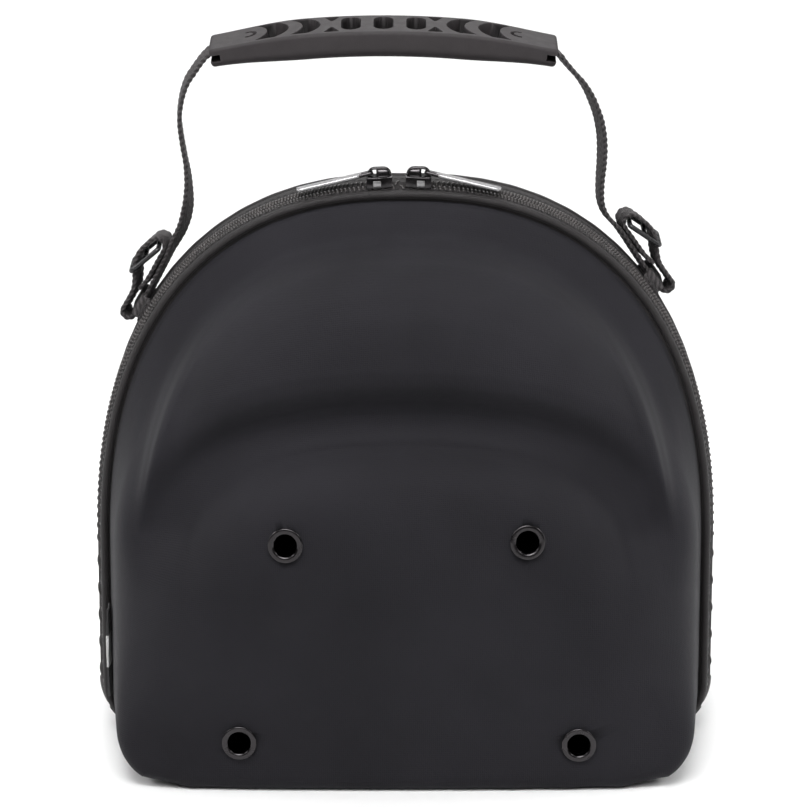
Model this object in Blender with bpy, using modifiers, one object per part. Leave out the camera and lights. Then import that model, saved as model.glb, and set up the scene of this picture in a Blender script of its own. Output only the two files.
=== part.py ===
"""Hat bag: a moulded cap carrier case with a carrying handle.

Metres, +Z up, +X to the right, front towards -Y. The origin is on the ground under the middle of the
case. Two hollow moulded halves meet at a zip band whose middle plane is y = 0.
"""

import math

import bmesh
import bpy
import numpy as np

MM = 0.001
OVERCUT = 0.002  # how far a cutter runs past what it cuts

# Outline of the case in the zip plane, to the outside of the coil
HALF_WIDTH = 0.135
HEIGHT = 0.2475
SPRING_HEIGHT = 0.085  # where the straight sides turn into the arch
ARCH_POWER = 2.38  # 2 would be an ellipse
CORNER_RADIUS = 0.024

# Zip band, measured from the zip's middle plane; insets are inwards from the outline
COIL_WIDTH = 0.0058
COIL_THICKNESS = 0.0026
TAPE_THICKNESS = 0.0012
TAPE_INSET = 0.0010
FRONT_TAPE_DROP = 0.0021  # the front tape slopes down to its piping
FRONT_TAPE_WIDTH = 0.0029
REAR_TAPE_WIDTH = 0.0134
PIPING_RADIUS = 0.0017
FRONT_PIPING_INSET = 0.0039
REAR_PIPING_INSET = 0.0019
ZIP_END_HEIGHT = 0.012  # the zip ends this far up the bottom corners
SEAM_GAP = 0.0003

# Moulded shells
WALL = 0.0035
FRONT_SHELL_INSET = 0.0061
REAR_SHELL_INSET = 0.0041
DRAFT_DEG = 7.0
FRONT_DEPTH = 0.0805
REAR_DEPTH = 0.0830
EDGE_ROUNDING = 0.028
BOTTOM_ROUNDING = 0.006
ROUNDING_CHANGE = 0.080  # height over which the edge's rounding grows
FOOT_RUN = 0.009  # the bottom wall drops to the ground over this length past the piping
DOME_DEPTH = 0.0665
DOME_REACH = 0.080  # how far in from the rim the dome's slope runs
PANEL_CROWN = 0.0030
SHELL_CENTRE_HEIGHT = 0.140

# Arch-shaped valley between the dome and the lower panel
VALLEY_HALF_WIDTH = 0.108
VALLEY_TOP = 0.1600
VALLEY_SPRING = 0.086
VALLEY_POWER = 2.4
VALLEY_FLOOR_DEPTH = 0.0550
VALLEY_REACH = 0.020  # from the valley's line up to the dome's crest
PANEL_REACH = 0.060  # from the valley's line down to the panel's full depth

# Eyelets
EYELET_RADIUS = 0.0074
EYELET_HOLE_RADIUS = 0.0046
EYELET_BARREL = 0.0007
EYELET_FLANGE = 0.0009
EYELET_ROLL = 0.0006
EYELET_CLEARANCE = 0.0003
EYELET_SEAT = 0.0014  # how far the curved wall's inner face bows into the eyelet's inner flange
EYELET_SPOTS = (
    # x, z
    (-0.0502, 0.1094),
    (0.0510, 0.1108),
    (-0.0704, 0.0222),
    (0.0734, 0.0212),
)

# Zip sliders and pulls
SLIDER_LENGTH = 0.0110
SLIDER_WIDTH = 0.0095
SLIDER_BODY = 0.0026
BRIDGE_WIDTH = 0.0022
BRIDGE_THICKNESS = 0.0010
BRIDGE_SPACE = 0.0026  # free height under the bridge
PULL_LENGTH = 0.0330
PULL_WIDTH = 0.0052
PULL_BAR_RADIUS = 0.0008
PULL_ARM = 0.0011
PULL_EYE_EDGE = 0.0008
PULL_TAPER = 0.0015
PULL_CHAMFER = 0.0011
PULL_SLOPE_DEG = 12.0
SLIDER_LEFT_X = -0.0111
SLIDER_RIGHT_X = 0.0055

# Handle: all of it lies around one plane behind the zip
HANDLE_Y = 0.023
WEB_WIDTH = 0.020
WEB_THICKNESS = 0.0016
GRIP_LENGTH = 0.148
GRIP_WIDTH = 0.027
GRIP_END_WIDTH = 0.024
GRIP_HEIGHT = 0.0125
GRIP_END_HEIGHT = 0.0090
GRIP_X = -0.0094
GRIP_TOP = 0.3130
GRIP_ARCH_RADIUS = 0.400
GRIP_MOUTH = 0.014
MOUTH_CLEARANCE = 0.0007
POCKET_DEPTH = 0.0034
SLOT_WIDTH = 0.0078
SLOT_REACH = 0.0180
SLOT_SPACING = 0.0137
CRESCENT_STARTS = (0.0275, 0.0405)  # from the grip's middle to each crescent's outer arc
CRESCENT_RADIUS = 0.0125
CRESCENT_WIDTH = 0.0062
CRESCENT_REACH = 0.0098
BUCKLE_BAR = 0.0022
BUCKLE_BAR_SPACING = 0.0077
BUCKLE_SIDE_CLEARANCE = 0.0005
KEEPER_LENGTH = 0.010
KEEPER_CLEARANCE = 0.0005
KEEPER_FOOT = 0.006
KEEPER_BEND = 0.001
KEEPER_SEAT = 0.0009  # between the rear foot and the curved wall under it
LOOP_RADIUS = 0.0038
BAR_LOOP_RADIUS = 0.0036

# Side label
LABEL_BOTTOM = 0.022
LABEL_HEIGHT = 0.040
LABEL_LENGTH = 0.010
LABEL_THICKNESS = 0.0012
LABEL_LEAN = 0.0016  # its free edge stands this far off the wall

DOME_SLOPE = (
    # inset from the rim as a share of DOME_REACH, depth as a share from the rim to the dome's crest
    (0.000, 0.000),
    (0.019, 0.055),
    (0.100, 0.120),
    (0.175, 0.175),
    (0.212, 0.260),
    (0.240, 0.400),
    (0.275, 0.540),
    (0.337, 0.675),
    (0.412, 0.792),
    (0.525, 0.900),
    (0.675, 0.967),
    (0.825, 0.992),
    (1.000, 1.000),
)

REAR_SLOPE = (
    # inset from the rim as a share of DOME_REACH, depth as a share from the rim to the rear's face
    (0.000, 0.000),
    (0.020, 0.050),
    (0.090, 0.250),
    (0.200, 0.600),
    (0.300, 0.820),
    (0.450, 0.950),
    (0.700, 0.990),
    (1.000, 1.000),
)

VALLEY_UPPER = (
    # distance above the valley's line as a share of VALLEY_REACH, share of the way to the dome's crest
    (0.0, 0.0),
    (0.2, 0.13),
    (0.45, 0.50),
    (0.70, 0.83),
    (1.0, 1.0),
)

VALLEY_LOWER = (
    # distance below the valley's line as a share of PANEL_REACH, share of the way to the panel
    (0.0, 0.0),
    (0.07, 0.03),
    (0.13, 0.09),
    (0.18, 0.17),
    (0.22, 0.20),
    (0.28, 0.37),
    (0.37, 0.60),
    (0.47, 0.77),
    (0.60, 0.89),
    (0.78, 0.97),
    (1.0, 1.0),
)

# Angles of the front shell's rings, from its rim (0) to the middle of its front (90)
FRONT_RING_DEG = (0, 2, 4.5, 7.5, 11.5, 17, 22.5, 26, 29, 33, 38, 44, 50, 56, 61, 65.5, 70, 75, 81)
REAR_RING_DEG = (0, 2, 5, 9, 15, 21, 26, 32, 42, 58)
# Steps of half the outline, from the middle of its bottom to its top
BOTTOM_STEPS = 4
CORNER_STEPS = 5
SIDE_STEPS = 3
ARCH_STEPS = 14

# Routes of the straps in the handle's plane, from the grip's mouth down to the shoulder
GRIP_HOLD = 0.0115  # how far a strap runs into the grip
LEFT_STRAP_ROUTE = (
    # share of the way down, and how far out of the straight line as a share of the height
    (0.036, 0.033),
    (0.095, 0.063),
    (0.144, 0.085),
    (0.203, 0.095),
    (0.268, 0.095),
    (0.342, 0.085),
    (0.441, 0.053),
    (0.540, 0.016),
    (0.640, -0.016),
    (0.740, -0.036),
    (0.815, -0.041),
    (0.880, -0.034),
)
RIGHT_STRAP_ROUTE = (
    # share of the way down, and how far out of the straight line as a share of the height
    (0.050, 0.020),
    (0.107, 0.048),
    (0.162, 0.078),
    (0.229, 0.097),
    (0.301, 0.103),
    (0.385, 0.101),
    (0.496, 0.078),
    (0.608, 0.038),
    (0.720, -0.010),
    (0.833, -0.048),
    (0.915, -0.045),
)
STRAP_TOUCHDOWN = 0.0250  # from the keeper's middle to where the strap meets the shoulder
STRAP_EASE = 0.0007  # how far it is still off the shoulder there
STRAP_FLAT_RUN = 0.002  # it lies flat over this length before the keeper
# Where the straps fold round their keepers, as angles round the arch from its top
LEFT_KEEPER_DEG = 52.7
RIGHT_KEEPER_DEG = 48.0

STRAP_STEP = 0.004  # between the points of the straps' middle lines
STRAP_LOOP_STEP = 0.0024

# Places of the buckle's outer bars, from the keeper's middle
BUCKLE_TOP_ALONG = 0.0262
BUCKLE_TOP_OUT = 0.0096
BUCKLE_TILT_DEG = 20.4

# The strap's doubled end, from the keeper up through the buckle
STRAP_RETURN = (
    # along the shoulder, out from it
    (0.0035, 0.0090),
    (0.0075, 0.0102),
    (0.0117, 0.0123),
    (0.0154, 0.0141),
    (0.0190, 0.0148),
    (0.0227, 0.0144),
)
STRAP_TAIL = (
    # along the shoulder, out from it
    (0.0217, 0.0056),
    (0.0152, 0.0056),
    (0.0110, 0.0058),
)


def smooth_step(value, low, high):
    share = np.clip((value - low) / (high - low), 0.0, 1.0)
    return share * share * (3.0 - 2.0 * share)


def smooth_max(a, b, width):
    """The larger of two distances, rounded where they are within width of each other."""
    share = np.clip(0.5 + 0.5 * (a - b) / width, 0.0, 1.0)
    return b + (a - b) * share + width * share * (1.0 - share)


def table_value(table, share):
    """A smooth curve through a table's rows, without overshoot, and its slope."""
    xs = np.array([row[0] for row in table])
    ys = np.array([row[1] for row in table])
    steps = np.diff(ys) / np.diff(xs)
    slopes = np.zeros(len(xs))
    slopes[0] = steps[0]
    slopes[-1] = steps[-1]
    both = steps[:-1] * steps[1:]
    means = np.where(both > 0, 2.0 * both / np.where(both > 0, steps[:-1] + steps[1:], 1.0), 0.0)
    slopes[1:-1] = means
    share = np.clip(share, xs[0], xs[-1])
    index = np.clip(np.searchsorted(xs, share, side="right") - 1, 0, len(xs) - 2)
    run = xs[index + 1] - xs[index]
    t = (share - xs[index]) / run
    start = (1 + 2 * t) * (1 - t) ** 2 * ys[index] + t * (1 - t) ** 2 * run * slopes[index]
    end = t * t * (3 - 2 * t) * ys[index + 1] + t * t * (t - 1) * run * slopes[index + 1]
    return start + end


def arch_value(x, z, half_width, spring, rise, power):
    """How far out a point lies as a share of an arch (1 on it), and its distance from the arch."""
    across = np.abs(x) / half_width
    up = np.maximum(z - spring, 0.0) / rise
    share = np.maximum((across**power + up**power) ** (1.0 / power), 1e-6)
    pull_x = (across / share) ** (power - 1.0) / half_width
    pull_z = (up / share) ** (power - 1.0) / rise
    return share, (share - 1.0) / np.maximum(np.hypot(pull_x, pull_z), 1e-6)


def wall_distance(x, z, inset, bottom):
    """Distance outside the case's outline, moved inwards by inset, with its flat bottom at bottom."""
    half_width = HALF_WIDTH - inset
    rise = HEIGHT - SPRING_HEIGHT - inset
    _, arch = arch_value(x, z, half_width, SPRING_HEIGHT, rise, ARCH_POWER)
    corner_x = np.abs(x) - (half_width - CORNER_RADIUS)
    corner_z = bottom + CORNER_RADIUS - z
    outside = np.hypot(np.maximum(corner_x, 0.0), np.maximum(corner_z, 0.0))
    box = outside + np.minimum(np.maximum(corner_x, corner_z), 0.0) - CORNER_RADIUS
    return np.where(z > SPRING_HEIGHT, arch, box)


def front_field(x, z):
    """Depth of the front half's face: the dome, the valley and the lower panel."""
    rise = VALLEY_TOP - VALLEY_SPRING
    share, above = arch_value(x, z, VALLEY_HALF_WIDTH, VALLEY_SPRING, rise, VALLEY_POWER)
    side_fade = np.maximum(z - VALLEY_SPRING, 0.0) / rise / share
    fade = smooth_step(side_fade, 0.02, 0.55)
    panel = FRONT_DEPTH - PANEL_CROWN * (x / HALF_WIDTH) ** 2
    up_share = table_value(VALLEY_UPPER, above / VALLEY_REACH)
    down_share = table_value(VALLEY_LOWER, -above / PANEL_REACH)
    upper = VALLEY_FLOOR_DEPTH + (DOME_DEPTH - VALLEY_FLOOR_DEPTH) * up_share
    lower = VALLEY_FLOOR_DEPTH + (panel - VALLEY_FLOOR_DEPTH) * down_share
    grooved = np.where(above > 0, upper, lower)
    plain = panel + (DOME_DEPTH - panel) * smooth_step(above, -PANEL_REACH / 2, VALLEY_REACH)
    return plain + (grooved - plain) * fade


def rear_field(x, z):
    """Depth of the rear half's face: plain and slightly crowned."""
    middle = (z - HEIGHT / 2) / HEIGHT
    return REAR_DEPTH - PANEL_CROWN * ((x / HALF_WIDTH) ** 2 + middle**2)


def shell_value(x, depth, z, rim, inset, field, crest, slope):
    """Below zero inside a moulded half, above zero outside it."""
    run = np.maximum(depth - rim, 0.0)
    wall_inset = inset + run * math.tan(math.radians(DRAFT_DEG))
    foot = 2 * PIPING_RADIUS + SEAM_GAP
    bottom = inset * (1.0 - smooth_step(run, foot, foot + FOOT_RUN))
    face = field(x, z)
    growth = smooth_step(z, BOTTOM_ROUNDING, ROUNDING_CHANGE)
    rounding = BOTTOM_ROUNDING + (EDGE_ROUNDING - BOTTOM_ROUNDING) * growth
    body = smooth_max(wall_distance(x, z, wall_inset, bottom), depth - face, rounding)
    rim_distance = wall_distance(x, z, inset, inset)
    slope_share = -rim_distance / DOME_REACH
    risen = table_value(slope, slope_share)
    drop = (crest - rim) * (1.0 - risen)
    steepness = (table_value(slope, slope_share + 0.02) - risen) / 0.02 * (crest - rim) / DOME_REACH
    dome = np.maximum((depth - (face - drop)) / np.sqrt(1.0 + steepness**2), rim_distance)
    share, _ = arch_value(x, z, HALF_WIDTH, SPRING_HEIGHT, HEIGHT - SPRING_HEIGHT, ARCH_POWER)
    height_share = np.maximum(z - SPRING_HEIGHT, 0.0) / (HEIGHT - SPRING_HEIGHT) / share
    top = smooth_step(height_share, 0.10, 0.90)
    return body + (dome - body) * top


def surface_points(directions, rim, inset, field, crest, slope):
    """Where rays from the middle of the rim's plane leave a moulded half. Depths run from the zip."""
    farthest = HALF_WIDTH + HEIGHT
    reach = np.arange(1, int(farthest / MM))[:, None] * MM
    x = reach * directions[None, :, 0]
    depth = rim + reach * directions[None, :, 1]
    z = SHELL_CENTRE_HEIGHT + reach * directions[None, :, 2]
    outside = shell_value(x, depth, z, rim, inset, field, crest, slope) > 0
    first = np.argmax(outside, axis=0)
    low = (first + 0.0) * MM
    high = (first + 1.0) * MM
    for _ in range(30):
        middle = (low + high) / 2
        value = shell_value(
            middle * directions[:, 0],
            rim + middle * directions[:, 1],
            SHELL_CENTRE_HEIGHT + middle * directions[:, 2],
            rim,
            inset,
            field,
            crest,
            slope,
        )
        high = np.where(value > 0, middle, high)
        low = np.where(value > 0, low, middle)
    return directions * high[:, None] + np.array([0.0, rim, SHELL_CENTRE_HEIGHT])


def make_collection(name):
    collection = bpy.data.collections.new(name)
    bpy.context.scene.collection.children.link(collection)
    return collection


def make_material(name, color, roughness, metallic=0.0):
    material = bpy.data.materials.new(name)
    material.use_nodes = True
    shader = material.node_tree.nodes["Principled BSDF"]
    shader.inputs["Base Color"].default_value = (*color, 1.0)
    shader.inputs["Roughness"].default_value = roughness
    shader.inputs["Metallic"].default_value = metallic
    return material


def add_mesh_object(name, bm, material, parts, smooth_deg=40.0):
    bmesh.ops.recalc_face_normals(bm, faces=bm.faces)
    mesh = bpy.data.meshes.new(name)
    bm.to_mesh(mesh)
    bm.free()
    mesh.shade_smooth()
    mesh.set_sharp_from_angle(angle=math.radians(smooth_deg))
    mesh.materials.append(material)
    new = bpy.data.objects.new(name, mesh)
    parts.objects.link(new)
    return new


def as_mesh(source, parts, weld=0.00001):
    """Replaces an object by the mesh that its modifiers or its curve make."""
    bpy.context.view_layer.update()
    evaluated = source.evaluated_get(bpy.context.evaluated_depsgraph_get())
    mesh = bpy.data.meshes.new_from_object(evaluated)
    bm = bmesh.new()
    bm.from_mesh(mesh)
    bmesh.ops.remove_doubles(bm, verts=bm.verts, dist=weld)
    bmesh.ops.recalc_face_normals(bm, faces=bm.faces)
    bm.to_mesh(mesh)
    bm.free()
    name = source.name
    place = source.matrix_world.copy()
    bpy.data.objects.remove(source)
    new = bpy.data.objects.new(name, mesh)
    new.matrix_world = place
    parts.objects.link(new)
    return new


def cut(target, cutter):
    boolean = target.modifiers.new(f"cut_{cutter.name}", "BOOLEAN")
    boolean.object = cutter
    boolean.operation = "DIFFERENCE"
    boolean.solver = "EXACT"


def add_cutter(name, bm, cutters):
    bmesh.ops.recalc_face_normals(bm, faces=bm.faces)
    mesh = bpy.data.meshes.new(name)
    bm.to_mesh(mesh)
    bm.free()
    cutter = bpy.data.objects.new(name, mesh)
    cutter.hide_render = True
    cutter.display_type = "WIRE"
    cutters.objects.link(cutter)
    return cutter


def outline_points(inset):
    """The case's outline moved inwards by inset: points from the middle of the bottom round by the
    right side, each as x, z and its outward direction."""
    rise = HEIGHT - SPRING_HEIGHT
    half = []
    flat = HALF_WIDTH - CORNER_RADIUS
    for step in range(BOTTOM_STEPS + 1):
        half.append((flat * step / BOTTOM_STEPS, 0.0, 0.0, -1.0))
    for step in range(1, CORNER_STEPS + 1):
        angle = math.pi / 2 * step / CORNER_STEPS
        nx = math.sin(angle)
        nz = -math.cos(angle)
        half.append((flat + CORNER_RADIUS * nx, CORNER_RADIUS + CORNER_RADIUS * nz, nx, nz))
    for step in range(1, SIDE_STEPS + 1):
        z = CORNER_RADIUS + (SPRING_HEIGHT - CORNER_RADIUS) * step / SIDE_STEPS
        half.append((HALF_WIDTH, z, 1.0, 0.0))
    for step in range(1, ARCH_STEPS + 1):
        angle = math.pi / 2 * step / ARCH_STEPS
        across = max(math.cos(angle), 0.0) ** (2 / ARCH_POWER)
        up = math.sin(angle) ** (2 / ARCH_POWER)
        normal = np.array([across ** (ARCH_POWER - 1) / HALF_WIDTH, up ** (ARCH_POWER - 1) / rise])
        normal /= np.linalg.norm(normal)
        half.append((HALF_WIDTH * across, SPRING_HEIGHT + rise * up, *normal))
    whole = half + [(-x, z, -nx, nz) for x, z, nx, nz in reversed(half[1:-1])]
    return [(x - nx * inset, z - nz * inset, nx, nz) for x, z, nx, nz in whole]


def arch_spot(angle_deg, side):
    """A point on the outline's arch and its outward direction; the angle runs from the top."""
    rise = HEIGHT - SPRING_HEIGHT
    angle = math.radians(90.0 - angle_deg)
    across = math.cos(angle)
    up = math.sin(angle)
    share = (across**ARCH_POWER + up**ARCH_POWER) ** (1.0 / ARCH_POWER)
    across /= share
    up /= share
    normal = np.array([across ** (ARCH_POWER - 1) / HALF_WIDTH, up ** (ARCH_POWER - 1) / rise])
    normal /= np.linalg.norm(normal)
    point = np.array([across * HALF_WIDTH, SPRING_HEIGHT + up * rise])
    return point * np.array([side, 1.0]), normal * np.array([side, 1.0])


def make_shell(name, side, rim, inset, field, crest, slope, ring_deg, material, parts):
    """A moulded half: rings from the rim to the middle of its face, thickened inwards."""
    spoke_ends = outline_points(inset)
    spokes = len(spoke_ends)
    directions = []
    for ring in ring_deg:
        lift = math.radians(ring)
        for x, z, _, _ in spoke_ends:
            reach = math.hypot(x, z - SHELL_CENTRE_HEIGHT)
            flat = math.cos(lift) / reach
            directions.append((flat * x, math.sin(lift), flat * (z - SHELL_CENTRE_HEIGHT)))
    directions.append((0.0, 1.0, 0.0))
    points = surface_points(np.array(directions), rim, inset, field, crest, slope)
    points[:, 2] = np.where(np.abs(points[:, 2]) < 0.01 * MM, 0.0, points[:, 2])
    bm = bmesh.new()
    verts = [bm.verts.new((x, -side * depth, z)) for x, depth, z in points]
    for ring in range(len(ring_deg) - 1):
        for spoke in range(spokes):
            after = (spoke + 1) % spokes
            a = ring * spokes
            b = a + spokes
            bm.faces.new((verts[a + spoke], verts[a + after], verts[b + after], verts[b + spoke]))
    last = (len(ring_deg) - 1) * spokes
    for spoke in range(spokes):
        bm.faces.new((verts[last + spoke], verts[last + (spoke + 1) % spokes], verts[-1]))
    bmesh.ops.recalc_face_normals(bm, faces=bm.faces)
    middle = max(bm.faces, key=lambda face: -side * face.calc_center_median().y)
    if middle.normal.y * side > 0:
        bmesh.ops.reverse_faces(bm, faces=bm.faces)
    mesh = bpy.data.meshes.new(name)
    bm.to_mesh(mesh)
    bm.free()
    shell = bpy.data.objects.new(name, mesh)
    parts.objects.link(shell)
    solidify = shell.modifiers.new("wall", "SOLIDIFY")
    solidify.thickness = WALL
    solidify.offset = -1.0
    solidify.use_even_offset = True
    shell = as_mesh(shell, parts)
    shell.name = name
    for vert in shell.data.vertices:
        if -side * vert.co.y < rim:
            vert.co.y = -side * rim
    shell.data.shade_smooth()
    shell.data.set_sharp_from_angle(angle=math.radians(50))
    shell.data.materials.clear()
    shell.data.materials.append(material)
    return shell


def surface_frame(x, z):
    """The front shell's outer point at x, z, and its outward direction, in world coordinates."""
    samples = 2000
    shape = (front_rim(), FRONT_SHELL_INSET, front_field, DOME_DEPTH, DOME_SLOPE)
    depths = np.linspace(FRONT_DEPTH / 3, FRONT_DEPTH + WALL, samples)
    xs = np.full(samples, x)
    zs = np.full(samples, z)
    values = shell_value(xs, depths, zs, *shape)
    depth = depths[np.argmax(values > 0)]
    step = 0.5 * MM
    spots = np.array(
        [
            (x + step, depth, z),
            (x - step, depth, z),
            (x, depth + step, z),
            (x, depth - step, z),
            (x, depth, z + step),
            (x, depth, z - step),
        ]
    )
    v = shell_value(spots[:, 0], spots[:, 1], spots[:, 2], *shape)
    normal = np.array([v[0] - v[1], -(v[2] - v[3]), v[4] - v[5]])
    return np.array([x, -depth, z]), normal / np.linalg.norm(normal)


def front_rim():
    """Distance from the zip's middle plane to the front shell's rim."""
    return COIL_WIDTH / 2 + FRONT_TAPE_WIDTH + 2 * SEAM_GAP


def rear_rim():
    return COIL_WIDTH / 2 + REAR_TAPE_WIDTH + 2 * SEAM_GAP


def make_eyelet(index, x, z, material, parts):
    """A rolled metal eyelet through the front wall, turned to the wall's own direction."""
    point, normal = surface_frame(x, z)
    outer = EYELET_CLEARANCE
    back = -WALL - EYELET_SEAT
    lip = EYELET_FLANGE
    hole = EYELET_HOLE_RADIUS
    barrel = hole + EYELET_BARREL
    profile = (
        (hole + EYELET_ROLL, outer + lip),
        (EYELET_RADIUS - EYELET_ROLL, outer + lip),
        (EYELET_RADIUS, outer + lip * 0.45),
        (EYELET_RADIUS - EYELET_ROLL / 3, outer),
        (barrel, outer),
        (barrel, back),
        (EYELET_RADIUS, back),
        (EYELET_RADIUS, back - lip * 0.7),
        (hole, back - lip * 0.7),
        (hole, outer + lip * 0.5),
    )
    bm = bmesh.new()
    rows = [bm.verts.new((r, 0.0, h)) for r, h in profile]
    edges = [bm.edges.new((rows[i], rows[(i + 1) % len(rows)])) for i in range(len(rows))]
    bmesh.ops.spin(
        bm, geom=rows + edges, cent=(0, 0, 0), axis=(0, 0, 1), angle=2 * math.pi, steps=12,
        use_merge=True,
    )
    bmesh.ops.remove_doubles(bm, verts=bm.verts, dist=0.00001)
    eyelet = add_mesh_object(f"eyelet_{index}", bm, material, parts)
    eyelet.location = point
    eyelet.rotation_mode = "QUATERNION"
    from_up = np.cross((0.0, 0.0, 1.0), normal)
    turn = 1.0 + normal[2]
    eyelet.rotation_quaternion = (turn, *from_up)
    eyelet.rotation_quaternion.normalize()
    return eyelet


def make_eyelet_cutter(index, x, z, cutters):
    point, normal = surface_frame(x, z)
    bm = bmesh.new()
    radius = (EYELET_HOLE_RADIUS + EYELET_BARREL + EYELET_CLEARANCE) / math.cos(math.pi / 12)
    bmesh.ops.create_cone(bm, cap_ends=True, segments=12, radius1=radius, radius2=radius, depth=WALL * 6)
    cutter = add_cutter(f"eyelet_hole_{index}", bm, cutters)
    cutter.location = point
    cutter.rotation_mode = "QUATERNION"
    cutter.rotation_quaternion = (1.0 + normal[2], *np.cross((0.0, 0.0, 1.0), normal))
    cutter.rotation_quaternion.normalize()
    return cutter


def make_piping(name, y, inset, material, parts):
    """A cord all round the case along one of its rims."""
    curve = bpy.data.curves.new(name, "CURVE")
    curve.dimensions = "3D"
    curve.bevel_depth = PIPING_RADIUS
    curve.bevel_resolution = 1
    spline = curve.splines.new("POLY")
    rows = outline_points(inset)
    spline.points.add(len(rows) - 1)
    for point, row in zip(spline.points, rows):
        point.co = (row[0], y, row[1], 1.0)
    spline.use_cyclic_u = True
    piping = bpy.data.objects.new(name, curve)
    parts.objects.link(piping)
    piping = as_mesh(piping, parts)
    piping.name = name
    piping.data.shade_smooth()
    piping.data.materials.clear()
    piping.data.materials.append(material)
    return piping


def zip_run(inset):
    """The outline's points from one end of the zip over the top to the other."""
    rows = outline_points(inset)
    return [row for row in rows if row[1] > ZIP_END_HEIGHT]


def sweep_band(name, rows, profile, material, parts, smooth_deg=40.0):
    """A closed profile of (outward, y) corners carried along a run of outline points."""
    bm = bmesh.new()
    rings = []
    for x, z, nx, nz in rows:
        rings.append([bm.verts.new((x + nx * out, y, z + nz * out)) for out, y in profile])
    count = len(profile)
    for here, after in zip(rings[:-1], rings[1:]):
        for corner in range(count):
            following = (corner + 1) % count
            bm.faces.new((here[corner], here[following], after[following], after[corner]))
    bm.faces.new(rings[0])
    bm.faces.new(reversed(rings[-1]))
    return add_mesh_object(name, bm, material, parts, smooth_deg)


def make_zip_tapes(material, parts):
    half_coil = COIL_WIDTH / 2 + SEAM_GAP
    spans = {
        "front_zip_tape": (-half_coil - FRONT_TAPE_WIDTH, -half_coil, FRONT_TAPE_DROP),
        "rear_zip_tape": (half_coil, half_coil + REAR_TAPE_WIDTH, 0.0),
    }
    for name, (start, end, drop) in spans.items():
        under = -TAPE_THICKNESS
        profile = ((-drop, start), (0.0, end), (under, end), (under - drop, start))
        sweep_band(name, zip_run(TAPE_INSET), profile, material, parts)


def make_coil(material, parts):
    profile = []
    for step in range(8):
        angle = 2 * math.pi * (step + 0.5) / 8
        out = COIL_THICKNESS / 2 * math.sin(angle) * 1.08 - COIL_THICKNESS / 2
        profile.append((out, COIL_WIDTH / 2 * math.cos(angle) * 1.08))
    sweep_band("zip_coil", zip_run(0.0), profile, material, parts, smooth_deg=80.0)


def make_bottom_hinge(material, parts):
    """The fabric strip under the case that the halves fold open on, up to the zip's ends."""
    rows = outline_points(TAPE_INSET)
    low = [row for row in rows if row[1] < ZIP_END_HEIGHT - 2 * SEAM_GAP]
    low.sort(key=lambda row: math.atan2(row[0], HEIGHT / 2 - row[1]))
    half_coil = COIL_WIDTH / 2 + SEAM_GAP
    profile = (
        (-FRONT_TAPE_DROP, -half_coil - FRONT_TAPE_WIDTH),
        (0.0, -half_coil),
        (0.0, half_coil + REAR_TAPE_WIDTH),
        (-TAPE_THICKNESS, half_coil + REAR_TAPE_WIDTH),
        (-TAPE_THICKNESS, -half_coil),
        (-TAPE_THICKNESS - FRONT_TAPE_DROP, -half_coil - FRONT_TAPE_WIDTH),
    )
    sweep_band("bottom_hinge", low, profile, material, parts)


def box(bm, low, high):
    """Adds an axis-aligned box to bm between two corners."""
    made = bmesh.ops.create_cube(bm, size=1.0)
    centre = [(a + b) / 2 for a, b in zip(low, high)]
    size = [b - a for a, b in zip(low, high)]
    bmesh.ops.scale(bm, vec=size, verts=made["verts"])
    bmesh.ops.translate(bm, vec=centre, verts=made["verts"])
    return made["verts"]


def slider_place(x):
    """A slider's middle on the coil's outer face, and the angle of the outline there."""
    rise = HEIGHT - SPRING_HEIGHT
    share = (1.0 - (abs(x) / HALF_WIDTH) ** ARCH_POWER) ** (1.0 / ARCH_POWER)
    z = SPRING_HEIGHT + share * rise
    slope = rise / HALF_WIDTH * (abs(x) / HALF_WIDTH / share) ** (ARCH_POWER - 1.0)
    return (x, 0.0, z), math.atan(slope) * (1 if x > 0 else -1)


def pivot_offset():
    """From a slider's middle to its pull's cross bar: along the zip and up from the coil."""
    along = SLIDER_LENGTH / 2 - BRIDGE_THICKNESS - PULL_BAR_RADIUS - 2 * SEAM_GAP
    up = SEAM_GAP + SLIDER_BODY + 2 * SEAM_GAP + PULL_BAR_RADIUS
    return along, up


def join_cut(name, outer, holes, material, parts, cutters):
    """A block with other blocks cut out of it."""
    bm = bmesh.new()
    box(bm, *outer)
    block = add_mesh_object(name, bm, material, parts, smooth_deg=30.0)
    for index, hole in enumerate(holes):
        bm = bmesh.new()
        box(bm, *hole)
        cutter = add_cutter(f"{name}_cut_{index}", bm, cutters)
        cutter.parent = block
        cut(block, cutter)
    return block


def make_slider(name, x, material, parts, cutters):
    """A slider on the coil: its plate and the bridge that holds the pull."""
    place, slope = slider_place(x)
    half = SLIDER_LENGTH / 2
    top = SEAM_GAP + SLIDER_BODY
    arch = top + BRIDGE_SPACE + BRIDGE_THICKNESS
    outer = ((-half, -SLIDER_WIDTH / 2, SEAM_GAP), (half, SLIDER_WIDTH / 2, arch))
    bridge = BRIDGE_WIDTH / 2
    reach = SLIDER_WIDTH
    holes = (
        ((-half - OVERCUT, bridge, top), (half + OVERCUT, reach, arch + OVERCUT)),
        ((-half - OVERCUT, -reach, top), (half + OVERCUT, -bridge, arch + OVERCUT)),
        ((-half + BRIDGE_THICKNESS, -reach, top), (half - BRIDGE_THICKNESS, reach, top + BRIDGE_SPACE)),
    )
    slider = join_cut(name, outer, holes, material, parts, cutters)
    slider.location = place
    slider.rotation_euler = (0.0, slope, 0.0)
    return slider


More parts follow.
